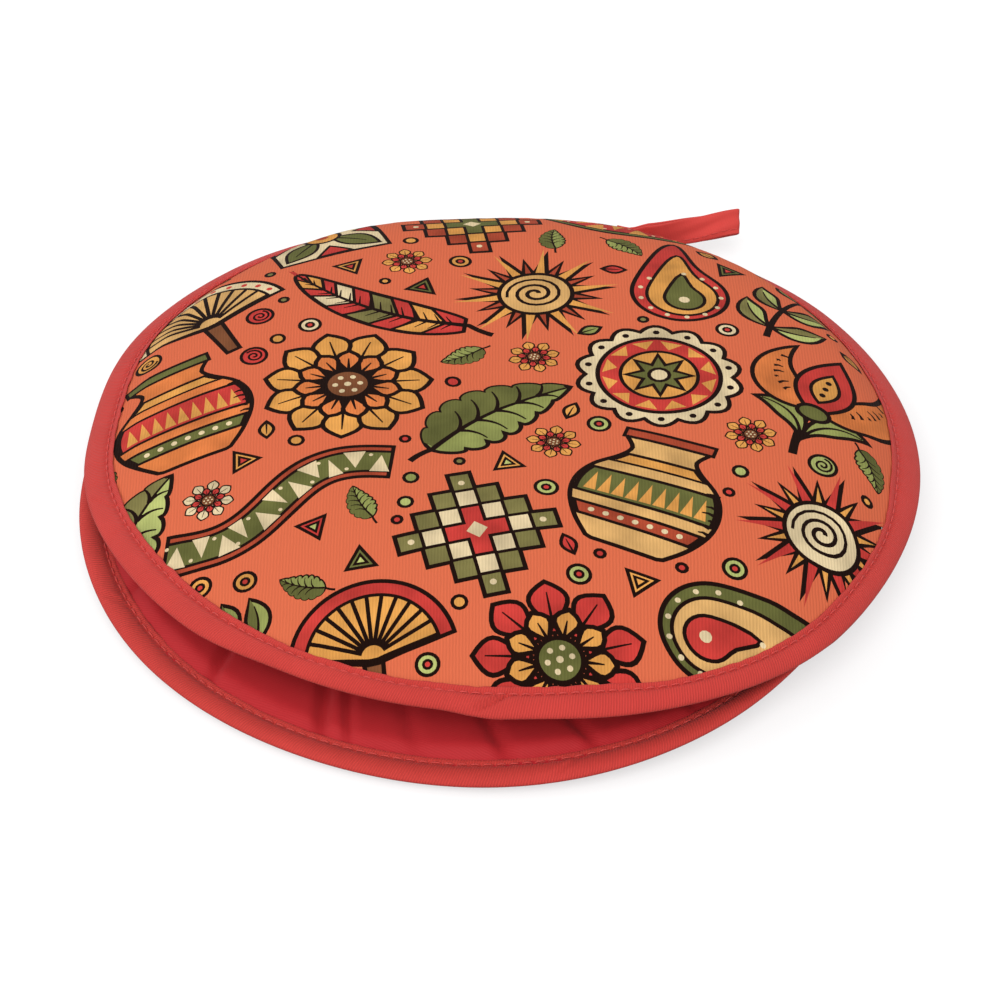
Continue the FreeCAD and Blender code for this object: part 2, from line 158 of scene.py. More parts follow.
def lay_table():
    """A table top just under the pouch."""
    half, drop = 4.0, 0.0002
    mesh = bpy.data.meshes.new("table_top")
    mesh.from_pydata([(-half, -half, 0), (half, -half, 0), (half, half, 0), (-half, half, 0)],
                     [], [(0, 1, 2, 3)])
    mesh.materials.append(painted_table())
    table_top = bpy.data.objects.new("table_top", mesh)
    table_top.location.z = -drop
    bpy.context.scene.collection.objects.link(table_top)


set_up_light()
lay_table()

# ------------------------------------------------------------------ the two discs

RIM = 150.0                                      # outer edge of the bound discs
FOLD_Y = -RIM * math.cos(math.radians(75.0))     # chord between the corners of the mouth
SEAM_LEVEL = 19.7                                # edge of the upper disc, level with the origin
SEAM_FALL = 0.03                                 # how much it drops per mm towards the back
SEAM_DIP = 3.0                                   # and how much more in the middle of the back
DIP_START = 100.0                                # the dip starts this far behind the origin
DIP_TURN = math.radians(18.0)                    # and is deepest this far round to the left
LIP_LIFT = 3.2                                   # the upper lip stands open by this
LOWER_LIP_LEVEL = 4.1                            # edge of the lower disc in front
QUILT_EDGE = 2.6                                 # a disc inside its tape
QUILT_MIDDLE = 7.6                               # and away from it
QUILT_SWELL = 45.0                               # width of the step between the two
FABRIC = 0.6
PLAY = 0.2
TAPE_WIDTH = 10.6
TAPE_STACK = 5.3                                 # from one binding's middle to the other's
STITCH_INSET = 8.3
STITCH_PITCH = 4.4
FLATS = ((1.5, 0.4, 18.8), (4.2, 119.7, 17.3), (4.1, 200.7, 13.5))   # mm in, at deg, deg wide


def ease(share):
    """0 to 1 with level ends."""
    share = min(max(share, 0.0), 1.0)
    return share * share * (3.0 - 2.0 * share)


def degrees_past(angle, middle):
    """How many degrees an angle in radians is past a middle in degrees, -180 to 180."""
    return (math.degrees(angle) - middle + 180.0) % 360.0 - 180.0


def mouth_share(y):
    """0 behind the chord between the mouth corners, 1 at the lip."""
    return ease((FOLD_Y - y) / (RIM + FOLD_Y))


def edge_radius(angle, disc):
    """Distance from the middle to a disc's edge, which draws in along the mouth and where the
    hand-sewn edge runs a little inside the circle."""
    radius = RIM - disc.pull * mouth_share(RIM * math.sin(angle))
    for depth, middle, width in disc.flats:
        radius -= depth * math.exp(-(degrees_past(angle, middle) / width) ** 2)
    return radius


def reach(x, y, disc):
    """0 in the middle of a disc, 1 at its edge."""
    return math.hypot(x, y) / edge_radius(math.atan2(y, x), disc)


def raised(share, power):
    """A power of the share inside the edge, carried on straight outside it."""
    return share ** power if share < 1.0 else 1.0 + power * (share - 1.0)


def quilt(share):
    """Thickness of a disc, which swells inside the binding."""
    inside = RIM - TAPE_WIDTH - share * RIM
    return QUILT_EDGE + (QUILT_MIDDLE - QUILT_EDGE) * ease(inside / QUILT_SWELL)


def sewn_level(x, y):
    """Level of the upper disc's sewn edge, which dips in the middle of the back."""
    behind = y * math.cos(DIP_TURN) - x * math.sin(DIP_TURN)
    dip = ease((behind - DIP_START) / (RIM - DIP_START))
    return SEAM_LEVEL - SEAM_FALL * y - SEAM_DIP * dip


def upper_edge_level(x, y):
    """Level of the upper disc's edge, carried on over the whole disc."""
    return sewn_level(x, y) + LIP_LIFT * mouth_share(y)


def lower_edge_level(x, y):
    """Level of the lower disc's edge, which is sewn behind and lies low in front."""
    mouth = mouth_share(y)
    return (sewn_level(x, y) - TAPE_STACK) * (1.0 - mouth) + LOWER_LIP_LEVEL * mouth


class UpperDisc:
    """The dome with the print; its lining is below."""

    pull = 7.6                                 # its loose lip draws in by this
    flats = FLATS
    creases = ((295.4, 1.5), (222.0, 0.35))    # across the tape: at, deg, and how deep
    inward = -1                                # up or down, from its outer face to its lining
    crown_rise = 25.9                          # middle above its edge
    power_front, power_back = 1.7, 6.9         # higher puts the fullness nearer the edge
    brim_front, brim_back = 0.6, 0.27          # share of the fullness left beside the edge
    brim_width = 20.4

    @staticmethod
    def narrowing(angle):
        """How much narrower the tape is sewn on both sides of its crease in front."""
        degrees = math.degrees(angle)
        front = ease((degrees - 250.0) / 17.0) * ease((297.0 - degrees) / 9.0)
        return 3.0 * front + 1.1 * math.exp(-((degrees - 301.0) / 8.0) ** 2)

    @staticmethod
    def tape_share(angle):
        """Share of its full width that the tape covers: less on the right of the mouth."""
        return 1.0 - 0.23 * ease((36.0 - abs(degrees_past(angle, 343.0))) / 16.0)

    @staticmethod
    def outer_face(x, y):
        """Level of the printed face, a dome with a pressed brim."""
        disc = UpperDisc
        share = reach(x, y, disc)
        behind = (RIM + y) / (2 * RIM)
        power = disc.power_front + (disc.power_back - disc.power_front) * behind
        brim = disc.brim_front + (disc.brim_back - disc.brim_front) * ease(2 * behind)
        fullness = brim + (1.0 - brim) * ease((1.0 - share) * RIM / disc.brim_width)
        dome = disc.crown_rise * (1.0 - raised(share, power)) * fullness
        return upper_edge_level(x, y) + QUILT_EDGE / 2 + dome


class LowerDisc:
    """The shallow bowl that lies on the table; its lining is above."""

    pull = -0.8
    flats = FLATS + ((6.0, -11.0, 16.0),)      # tucked in under the right corner of the mouth
    creases = ((305.0, 0.6), (233.0, 0.4))
    inward = 1
    bowl_power = 5.0                           # how late it turns up towards its edge
    sole_sink = 0.15                           # presses its middle to one flat face
    sole_level = 0.02

    @staticmethod
    def narrowing(angle):
        """Its tape is a little uneven."""
        return 0.6 * math.sin(3 * angle) ** 2

    @staticmethod
    def tape_share(_angle):
        """Its tape has its full width all round."""
        return 1.0

    @staticmethod
    def outer_face(x, y):
        """Level of the printed face, which lies on the table and turns up at its edge."""
        disc = LowerDisc
        rise = lower_edge_level(x, y) - QUILT_EDGE / 2 + disc.sole_sink
        level = rise * raised(reach(x, y, disc), disc.bowl_power) - disc.sole_sink
        return max(level, disc.sole_level)


def soft_noise(x, y, size, seed):
    """Smooth unevenness from -1 to 1 with features about that many millimetres across."""
    return noise.noise(Vector((x / size, y / size, seed)))


def edge_noise(angle, size, seed):
    """The same along an edge, meeting itself after one turn."""
    return noise.noise(Vector((RIM * math.cos(angle) / size, RIM * math.sin(angle) / size, seed)))


def lie_on_disc(disc, spot, depth_of):
    """Point on a disc for a spot of its flat cloth; depth_of gives the depth there."""
    share, angle = abs(spot) / RIM, cmath.phase(spot)
    radius = share * edge_radius(angle, disc)
    x, y = radius * math.cos(angle), radius * math.sin(angle)
    return Vector((x, y, disc.outer_face(x, y) + disc.inward * depth_of(x, y, share)))


def edge_point(disc, angle, inset, offset):
    """Point near a disc's edge: inset from it, offset up from the disc's middle surface."""
    radius = edge_radius(angle, disc) - inset
    x, y = radius * math.cos(angle), radius * math.sin(angle)
    return Vector((x, y, disc.outer_face(x, y) + disc.inward * QUILT_EDGE / 2 + offset))


# ------------------------------------------------------------------ making a piece

def make_piece(name, points, faces, finish, lie=None, inks=None):
    """A smooth mesh from points in millimetres.  lie is where each face corner is on the flat
    cloth, in millimetres, for the weave; inks is each face's printed colour."""
    mesh = bpy.data.meshes.new(name)
    mesh.from_pydata([Vector(p) * MM for p in points], [], faces)
    mesh.materials.append(finish)
    mesh.shade_smooth()
    if lie is not None:
        own = mesh.attributes.new("lie", "FLOAT_VECTOR", "CORNER")
        own.data.foreach_set("vector", [c * MM for spot in lie for c in (*spot, 0.0)])
    if inks is not None:
        own = mesh.attributes.new("ink", "FLOAT_COLOR", "CORNER")
        colours = [c for face, ink in zip(faces, inks) for _ in face for c in ink]
        own.data.foreach_set("color", colours)
    piece = bpy.data.objects.new(name, mesh)
    bpy.context.scene.collection.objects.link(piece)
    return piece


def bend_with_flap(piece):
    """Bakes a piece of the upper disc into place; it is not made to bend as the flap lifts."""
    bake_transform(piece)


def follow(piece, disc):
    """Joins a piece of the lower disc to the pouch's body; a piece of the upper disc is only baked
    into place.
    """
    if disc is UpperDisc:
        bend_with_flap(piece)
    else:
        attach(piece, "pouch")


# ------------------------------------------------------------------ finishes

# Ribs from one to the next.  Real ones are about 0.5 mm apart, or 0.3 mm in poplin and thread,
# which is too fine to show, so they are drawn twice as coarse.
TWILL_RIBS = 1.1
TAPE_RIBS = 0.95
POPLIN_RIBS = 0.7
THREAD_PLIES = 0.6

PRINT_TURN = 26.4     # degrees that the printed cloth, with its weave, is turned on the disc


def noise_scale(size):
    """Scale of a noise whose features are about that many millimetres across."""
    return 1 / (size * MM)


def woven_ribs(material, across, pitch, seed):
    """(place on the flat cloth, ribs of its weave as a wave from 0 to 1 that wanders a little)"""
    wander_size, stray = 3.85, 3.0             # mm, and radians of the wave
    lie = add_node(material, "Attribute", attribute_name="lie")
    wander = add_node(material, "TexNoise", {"Vector": lie.outputs["Vector"], "Detail": 2.0,
                                             "Scale": noise_scale(wander_size),
                                             "Roughness": 0.6})
    place = add_node(material, "VectorMath", {0: lie.outputs["Vector"], 1: across},
                     operation="DOT_PRODUCT")
    turns = add_node(material, "Math", {0: place.outputs["Value"], 1: TURN / (pitch * MM)},
                     operation="MULTIPLY")
    push = add_node(material, "Math", {0: wander.outputs[0], 1: stray, 2: seed},
                    operation="MULTIPLY_ADD")
    phase = add_node(material, "Math", {0: turns.outputs[0], 1: push.outputs[0]})
    wave = add_node(material, "Math", {0: phase.outputs[0]}, operation="SINE")
    ribs = add_node(material, "Math", {0: wave.outputs[0], 1: 0.5, 2: 0.5},
                    operation="MULTIPLY_ADD")
    return lie.outputs["Vector"], ribs.outputs[0]


def shaded_by(material, colour, share, low, high):
    """A colour or socket times a grey that goes from low to high with share."""
    grey = add_node(material, "MapRange", {0: share, 3: low, 4: high})
    return add_node(material, "VectorMath", {0: colour, 1: grey.outputs[0]},
                    operation="MULTIPLY").outputs[0]


def finish_cloth(material, colour, height, depth, roughness, sheen, specular=0.15):
    """Fibres scatter light at grazing angles, so cloth is matt with a soft pale sheen."""
    relief = add_node(material, "Bump", {"Height": height, "Distance": depth * MM,
                                         "Strength": 1.0})
    cloth = add_node(material, "BsdfPrincipled",
                     {"Base Color": colour, "Roughness": roughness, "IOR": 1.5,
                      "Specular IOR Level": specular, "Sheen Weight": sheen,
                      "Sheen Roughness": 0.5, "Normal": relief.outputs[0]})
    add_node(material, "OutputMaterial", {"Surface": cloth.outputs[0]})
    return material


def printed_twill():
    """Cotton twill with reactive inks printed on it: matt, with fine upright ribs in the weave
    that catch the light, and inks a little uneven where the yarns took them up."""
    material = new_material("printed_twill")
    patch = 15.4                               # mm
    warp = math.radians(PRINT_TURN)
    lie, ribs = woven_ribs(material, (math.cos(warp), math.sin(warp), 0.0), TWILL_RIBS, seed=0.0)
    ink = add_node(material, "Attribute", attribute_name="ink")
    uneven = add_node(material, "TexNoise", {"Vector": lie, "Scale": noise_scale(patch),
                                             "Detail": 2.0})
    swing = add_node(material, "MapRange", {0: uneven.outputs[0], 1: 0.3, 2: 0.7,
                                            3: -0.2, 4: 0.2})
    shade = add_node(material, "Math", {0: swing.outputs[0], 1: ink.outputs["Alpha"], 2: 0.86},
                     operation="MULTIPLY_ADD")
    colour = add_node(material, "VectorMath", {0: ink.outputs["Color"], 1: shade.outputs[0]},
                      operation="MULTIPLY")
    # The ribs' crests painted lighter and their valleys darker: painted light and shade of the
    # weave.
    colour = shaded_by(material, colour.outputs[0], ribs, 0.94, 1.06)
    return finish_cloth(material, colour, ribs, depth=0.1, roughness=0.9, sheen=0.02,
                        specular=0.05)


def bias_tape(name, code, painted_rib_shade, depth):
    """Cotton twill cut on the bias and folded: ribs run across it at a slant, and their crests are
    painted a little paler and the valleys between them darker, as light and shade of the ribs."""
    material = new_material(name)
    slant, patch = 0.28, 22.2                  # mm along for each mm across, and mm
    lie, ribs = woven_ribs(material, (1.0, slant, 0.0), TAPE_RIBS, seed=1.0)
    uneven = add_node(material, "TexNoise", {"Vector": lie, "Scale": noise_scale(patch),
                                             "Detail": 3.0})
    colour = shaded_by(material, linear(code)[:3], uneven.outputs[0], 0.88, 1.1)
    # The ribs' crests painted paler and their valleys darker: painted light and shade.
    colour = shaded_by(material, colour, ribs, 1 - painted_rib_shade, 1 + painted_rib_shade)
    return finish_cloth(material, colour, ribs, depth, roughness=0.7, sheen=0.06)


def lining_poplin():
    """Plain cotton-polyester poplin, pressed smooth: an even deep red with a slight sheen."""
    material = new_material("lining_poplin")
    patch = 45.5                               # mm
    lie, ribs = woven_ribs(material, (0.0, 1.0, 0.0), POPLIN_RIBS, seed=2.0)
    uneven = add_node(material, "TexNoise", {"Vector": lie, "Scale": noise_scale(patch),
                                             "Detail": 3.0})
    colour = shaded_by(material, linear("#B2262B")[:3], uneven.outputs[0], 0.92, 1.06)
    # Its ribs' crests painted a little lighter and their valleys darker: painted light and shade.
    colour = shaded_by(material, colour, ribs, 0.97, 1.02)
    return finish_cloth(material, colour, ribs, depth=0.03, roughness=0.55, sheen=0.04)


def polyester_thread():
    """Spun polyester sewing thread, glossier than the tape; its red is painted paler as a
    highlight.
    """
    material = new_material("polyester_thread")
    _, ribs = woven_ribs(material, (1.0, 1.0, 0.0), THREAD_PLIES, seed=3.0)
    # Its plies are painted lighter on their crests and darker between them: painted light and
    # shade.
    colour = shaded_by(material, linear("#CE4843")[:3], ribs, 0.82, 1.12)
    return finish_cloth(material, colour, ribs, depth=0.05, roughness=0.45, sheen=0.1)


def polyester_wadding():
    """Bonded polyester fleece: white, fluffy and quite matt."""
    material = new_material("polyester_wadding")
    tuft = 2.4                                 # mm
    spot = add_node(material, "TexCoord")
    fluff = add_node(material, "TexNoise", {"Vector": spot.outputs["Object"], "Detail": 5.0,
                                            "Scale": noise_scale(tuft), "Roughness": 0.7})
    # Its tufts are painted lighter and the hollows between them darker: painted light and shade.
    colour = shaded_by(material, linear("#ECE8DF")[:3], fluff.outputs[0], 0.86, 1.06)
    return finish_cloth(material, colour, fluff.outputs[0], depth=0.8, roughness=0.95, sheen=0.1)


PRINTED_TWILL = printed_twill()
BIAS_TAPE = bias_tape("bias_tape", "#BF3A34", painted_rib_shade=0.1, depth=0.17)
LIT_PRESSED_TAPE = bias_tape("lit_pressed_bias_tape", "#C8423C",       # ironed flat for the loop, and painted paler for the light that falls on it from all round
                         painted_rib_shade=0.02, depth=0.02)
LINING_POPLIN = lining_poplin()
POLYESTER_THREAD = polyester_thread()
POLYESTER_WADDING = polyester_wadding()

# ------------------------------------------------------------------ drawing the print

INKS = {
    "ground": "#DA6C4A",
    "black": "#1B0B06",
    "gold": "#DB9A4E",
    "orange": "#D87A42",
    "tan": "#D6A768",
    "cream": "#DCC79E",
    "red": "#C23C36",
    "brick": "#A9472F",
    "olive": "#7C7545",
    "moss": "#656636",
    "leaf": "#8F9553",
    "lime": "#AEB56C",
    "brown": "#7A4A2E",
}
OUTLINE_PART = 2.5   # longest straight part of a printed outline
TOO_CLOSE = 0.02     # points of an outline that are nearer than this are left out
WELD = 1e-4          # and nearer than this they become one
LINE = 1.22          # width of a large motif's outline before it is scaled up
FINE = 0.97          # and of the lines inside it
SMALL_LINE = 1.25    # and of a small motif's outline
PEN = 1.4            # how broad the pen strokes are drawn
SPACING = 1.3        # between the points of a printed curve


def steps(length, least=6):
    """How many parts a curve of that length is drawn in."""
    return max(least, round(length / SPACING))


def round_outline(centre, radius, squeeze=1.0):
    """Circle, or a lying oval if squeeze is less than 1."""
    count = steps(TURN * radius, 10)
    spots = [cmath.rect(radius, TURN * i / count) for i in range(count)]
    return [centre + complex(p.real, p.imag * squeeze) for p in spots]


def scalloped(centre, radius, lobes, depth):
    """Circle with that many round lobes."""
    each = steps(TURN * radius / lobes, 6)
    spots = []
    for i in range(lobes * each):
        bulge = abs(math.sin(math.pi * i / each))
        spots.append(centre + cmath.rect(radius - depth * (1 - bulge), TURN * i / lobes / each))
    return spots


def star_outline(tips, outer, inner):
    """Star about 0 with that many tips."""
    return [cmath.rect(inner if i % 2 else outer, math.pi * i / tips) for i in range(2 * tips)]


def curve(start, end, bend=0.0):
    """Points of an arc from start to end that bows out to the left by bend times its length."""
    count = steps(abs(end - start), 4)
    across = (end - start) * 1j * bend
    spots = []
    for i in range(count + 1):
        t = i / count
        spots.append(start + (end - start) * t + across * 4 * t * (1 - t))
    return spots


def curve_points(path, count):
    """The path again with evenly spaced points."""
    lengths = [0.0]
    for a, b in zip(path, path[1:]):
        lengths.append(lengths[-1] + abs(b - a))
    spots, at = [], 0
    for i in range(count):
        want = lengths[-1] * i / (count - 1)
        while at < len(path) - 2 and lengths[at + 1] < want:
            at += 1
        share = (want - lengths[at]) / (lengths[at + 1] - lengths[at])
        spots.append(path[at] + (path[at + 1] - path[at]) * share)
    return spots


def smooth_curve(spots):
    """Smooth curve through the spots, with points about as far apart as in the other curves."""
    smooth = []
    for i in range(len(spots) - 1):
        p0, p1 = spots[max(i - 1, 0)], spots[i]
        p2, p3 = spots[i + 1], spots[min(i + 2, len(spots) - 1)]
        count = steps(abs(p2 - p1), 2)
        for k in range(count):
            t = k / count
            smooth.append(0.5 * (2 * p1 + (p2 - p0) * t + (2 * p0 - 5 * p1 + 4 * p2 - p3) * t ** 2
                                 + (3 * p1 - p0 - 3 * p2 + p3) * t ** 3))
    return smooth + [spots[-1]]


def other_side(path):
    """The path on the other side of the upright axis, drawn back."""
    return [-p.conjugate() for p in reversed(path)]


def widths_along(path, width_at):
    """The two sides of a strip along a path, with its half width given from 0 to 1."""
    left, right = [], []
    last = len(path) - 1
    for i, p in enumerate(path):
        ahead = path[min(i + 1, last)] - path[max(i - 1, 0)]
        across = ahead / abs(ahead) * 1j * width_at(i / last)
        left.append(p + across)
        right.append(p - across)
    return left, right


def strip(path, width_at):
    """Outline of a strip along a path."""
    left, right = widths_along(path, width_at)
    return left + right[::-1]


def pen(path, width=LINE, taper=True):
    """A line as a pen draws it, thinner at its end."""
    thin = 0.35 if taper else 1.0
    return (strip(path, lambda t: width * PEN / 2 * (1 - (1 - thin) * t)), "black")


def petal_outline(path, width, fat=0.5):
    """Leaf or petal along a path, pointed at both ends; fat is where it is widest."""
    power = math.log(0.5) / math.log(fat)
    left, right = widths_along(path, lambda t: width / 2 * math.sin(math.pi * t ** power))
    return left[:-1] + right[:0:-1]


def half_petal_outline(path, width, fat=0.5):
    """The part of a petal to the left of its path."""
    power = math.log(0.5) / math.log(fat)
    left, _ = widths_along(path, lambda t: width / 2 * math.sin(math.pi * t ** power))
    return left[1:-1] + path[::-1]


def widened(outline, by):
    """The closed outline moved outwards, with its corners mitred, but not drawn out too far."""
    doubled_back, longest_mitre = 0.35, 0.45
    clear = [p for i, p in enumerate(outline) if abs(p - outline[i - 1]) > 1e-6]
    moved = []
    for i, p in enumerate(clear):
        before = p - clear[i - 1]
        after = clear[(i + 1) % len(clear)] - p
        before, after = before / abs(before), after / abs(after)
        out = -1j * (before + after)
        if abs(out) < doubled_back:
            out = -1j * before + after * 0.5
        out /= abs(out)
        lean = max(longest_mitre, (out * (-1j * before).conjugate()).real)
        moved.append(p + out * by / lean)
    return moved


def turning(outline):
    """Twice the area that a closed outline goes round, positive if to the left."""
    return sum((a.conjugate() * b).imag for a, b in zip(outline, outline[1:] + outline[:1]))


def inked(outline, ink, line=LINE):
    """A shape of one ink with a black outline."""
    if turning(outline) < 0:
        outline = outline[::-1]
    return [(widened(outline, line / 2), "black"), (widened(outline, -line / 2), ink)]


def blot(outline, ink):
    """A shape of one ink with no outline."""
    return [(outline if turning(outline) > 0 else outline[::-1], ink)]


def shading(path, inward, count, length, start=0.1, end=0.9):
    """Short tapering strokes from a path, as in an engraving."""
    shapes = []
    last = len(path) - 1
    for i in range(count):
        t = (start + (end - start) * i / (count - 1)) * last
        low = min(int(t), last - 1)
        p = path[low] + (path[low + 1] - path[low]) * (t - low)
        ahead = path[low + 1] - path[low]
        across = ahead / abs(ahead) * 1j * inward
        long = length * (0.65 + 0.35 * math.sin(2.3 * i))
        shapes.append(pen([p, p + across * long * 0.5 + ahead / abs(ahead) * 0.3,
                           p + across * long], 0.75))
    return shapes


# Each motif is drawn about 0 with its top towards +y, and is about 40 mm across.

def daisy(petals=11, outer="gold", inner="orange", eye="brown"):
    """Flower head with two rows of petals and a seeded eye."""
    shapes = []
    for row, (root, tip, wide, ink) in enumerate(((6, 21, 9.5, outer), (4, 13.5, 6.2, inner))):
        for i in range(petals):
            way = cmath.rect(1, TURN * (i + row / 2) / petals)
            path = curve(way * root, way * tip, 0.0)
            shapes += inked(petal_outline(path, wide, 0.66), ink)
            shapes.append(pen(curve(way * (root + 2), way * (tip - 3)), 0.7))
    shapes += inked(round_outline(0, 5.6), eye)
    for i in range(6):
        shapes += blot(round_outline(cmath.rect(3.1, TURN * i / 6), 0.75), "cream")
    shapes += blot(round_outline(0, 0.9), "cream")
    return shapes


def medallion(rim="cream", field="red", middle="gold"):
    """Scalloped round with a ring of points and a star in the middle."""
    shapes = inked(scalloped(0, 21, 14, 2.4), rim)
    for i in range(14):
        way = cmath.rect(1, TURN * (i + 0.5) / 14)
        shapes += blot(round_outline(way * 18.2, 0.9), "black")
    shapes += inked(round_outline(0, 15.5), field)
    for i in range(12):
        a, b = (cmath.rect(14.4, TURN * (i + k) / 12) for k in (0.12, 0.88))
        shapes += blot([a, b, cmath.rect(10.9, TURN * (i + 0.5) / 12)], middle)
    shapes += inked(round_outline(0, 9.8), middle, FINE)
    shapes += inked(star_outline(8, 8.4, 4.4), "moss", FINE)
    shapes += inked(round_outline(0, 2.6), "cream", FINE)
    return shapes


def sunburst(ray="gold", second="brick", disc="tan"):
    """Sun with long and short rays round a spiral."""
    shapes = []
    for i in range(10):
        for late, reach_to, wide, ink in ((0.5, 16.5, 0.20, second), (0.0, 22.0, 0.24, ray)):
            way = cmath.rect(1, TURN * (i + late) / 10)
            base = [way * cmath.rect(8.5, -wide), way * reach_to, way * cmath.rect(8.5, wide)]
            shapes += inked(base, ink)
    shapes += inked(round_outline(0, 9.6), disc)
    path = [cmath.rect(0.8 + 0.95 * t / 2.2, t) for t in [0.35 * k for k in range(46)]]
    shapes.append((strip(path, lambda t: 0.62 - 0.2 * t), "black"))
    return shapes


def broad_leaf(light="leaf", dark="moss", length=46.0, width=22.0):
    """Leaf in two greens with notched sides and drawn veins."""
    base, tip = complex(0, -length / 2), complex(0, length / 2)
    path = curve(base, tip, 0.07)
    teeth, last = 7, 63

    def ragged(t):
        """Half width of the leaf with its notches."""
        notch = abs(math.sin(math.pi * t * teeth)) ** 0.5
        return width / 2 * math.sin(math.pi * t ** 0.72) ** 0.8 * (0.8 + 0.2 * notch)

    fine = curve_points(path, last + 1)
    left, right = widths_along(fine, ragged)
    shapes = inked(left[:-1] + right[:0:-1], light)
    shapes += blot(left[2:-2] + fine[2:-2][::-1], dark)
    shapes.append(pen(curve(base - 7j, base + 1j, 0.06) + path, 1.3))
    for i in range(1, 6):
        t = 0.1 + 0.14 * i
        stem = fine[round(t * last)]
        for side in (1, -1):
            out = complex(side * width * 0.36 * math.sin(math.pi * t ** 0.72), 4.2)
            shapes.append(pen(curve(stem, stem + out, 0.12 * side), 0.9))
    return shapes


def sprig(pairs=3, light="lime", dark="olive", length=44.0):
    """Curved stem with pairs of two-tone leaves and a berry at the tip."""
    stem = curve(complex(0, -length / 2), complex(0, length / 2), 0.1)
    spots = curve_points(stem, pairs * 2 + 3)
    shapes = [pen(stem, 1.5)]
    for i in range(pairs):
        root = spots[2 * i + 1]
        size = 15.5 - 2.2 * i
        for side in (1, -1):
            tip = root + cmath.rect(size, math.pi / 2 - side * 0.95)
            path = curve(root, tip, -0.12 * side)
            shapes += inked(petal_outline(path, 7.4 - 0.7 * i, 0.55), light)
            shapes += blot(half_petal_outline(path, 6.0 - 0.7 * i, 0.55), dark)
            shapes.append(pen(path[:-2], 0.8))
    shapes += inked(round_outline(stem[-1], 3.4), "red")
    shapes += blot(round_outline(stem[-1] + complex(-0.9, 0.9), 0.8), "cream")
    return shapes


def tulip(cup="red", side_ink="orange", height=46.0):
    """Folk flower: two side petals, a middle petal with a heart of dots, a stem and two leaves."""
    shapes = [pen(curve(complex(0, -height / 2), 2j, 0.05), 1.6, False)]
    for side in (1, -1):
        path = curve(complex(0, -17), complex(side * 15, -6), 0.22 * side)
        shapes += inked(petal_outline(path, 6.4, 0.55), "leaf")
        shapes.append(pen(path[:-1], 0.8))
    for side in (1, -1):
        path = curve(complex(side * 1.5, -4), complex(side * 11.5, 21), -0.28 * side)
        shapes += inked(petal_outline(path, 11.5, 0.4), side_ink)
        shapes += shading(path, side, 7, 3.2, 0.25, 0.8)
    path = curve(-5j, 22j, 0)
    shapes += inked(petal_outline(path, 15, 0.42), cup)
    shapes += inked(petal_outline(curve(0j, 14j, 0), 7.2, 0.45), "gold", FINE)
    for i in range(3):
        shapes += blot(round_outline(complex(0, 3.6 + 3.1 * i), 0.85), "black")
    shapes += inked(round_outline(-5j, 4.2, 0.72), "moss")
    return shapes


def curled_drop(outer="red", field="gold", inner="moss"):
    """Teardrop with a curled tip, inside it a smaller drop and a row of beads."""
    def drop(scale, shift):
        """A round whose top is drawn out and over."""
        spots = []
        count = steps(TURN * 13 * scale, 20)
        for i in range(count):
            t = i / count
            way = cmath.rect(13 * scale, TURN * t - math.pi / 2)
            pull = math.exp(-((t - 0.5) / 0.085) ** 2)
            spots.append(way + shift + complex(9.5 * pull * scale, 15 * pull * scale))
        return spots

    shapes = inked(drop(1.0, -4j), outer)
    shapes += inked(drop(0.74, complex(0.3, -5)), field, FINE)
    shapes += inked(drop(0.42, complex(0.3, -6.5)), inner, FINE)
    for i in range(13):
        turn = TURN * (i + 0.5) / 13 - math.pi / 2
        if abs(turn - math.pi / 2) > 0.42:
            shapes += blot(round_outline(-4.4j + cmath.rect(11.0, turn), 0.72), "cream")
    shapes += blot(round_outline(-7j, 1.5), "cream")
    return shapes


def feather(length=62.0, width=15.0, bands=("red", "gold", "olive", "cream")):
    """Long curved feather in bands, with a quill and barbs drawn across it."""
    path = curve_points(curve(complex(0, -length / 2), complex(0, length / 2), 0.13), 56)

    def half_width(t):
        """Full along most of its length."""
        return width / 2 * math.sin(math.pi * min(1, t * 1.06 + 0.02) ** 0.8) ** 0.6

    left, right = widths_along(path, half_width)
    shapes = inked(left[1:-2] + right[-2:0:-1], bands[0])
    lag = 5                              # the middle of a band trails its sides
    for first, last, ink in ((10, 17, bands[1]), (22, 29, bands[2]), (34, 40, bands[3]),
                             (44, 49, bands[1])):
        patch = [path[first - lag]] + right[first:last + 1]
        patch += [path[last - lag]] + left[first:last + 1][::-1]
        middle = path[(first + last) // 2]
        shapes += inked([p + (middle - p) * 0.06 for p in patch], ink, FINE)
    shapes.append(pen(curve(path[0] - 8j, path[0], 0.04) + path[:-4], 1.4))
    for i in range(4, 50, 3):
        for side in (left, right):
            aim = side[min(i + 4, 55)]
            shapes.append(pen([path[i], path[i] + (aim - path[i]) * 0.55], 0.55))
    return shapes


def stepped_diamond(outer="brick", field="gold", middle="moss"):
    """Woven-rug diamond whose sides go up in steps."""
    def stepped(size, count):
        """Diamond with that many steps to a side."""
        pitch = size / (count - 0.5)
        spots = []
        for quarter in range(4):
            for i in range(count):
                for side in (-0.5, 0.5):
                    corner = complex(size - i * pitch, (i + side) * pitch)
                    spots.append(corner * 1j ** quarter)
        return spots

    shapes = inked(stepped(21.0, 4), outer)
    shapes += inked(stepped(14.4, 3), field, FINE)
    shapes += inked(stepped(8.4, 2), middle, FINE)
    shapes += blot([2.8, 2.8j, -2.8, -2.8j], "cream")
    for way in (1, 1j, -1, -1j):
        shapes += blot(round_outline(way * 17.3, 0.9), "cream")
    return shapes


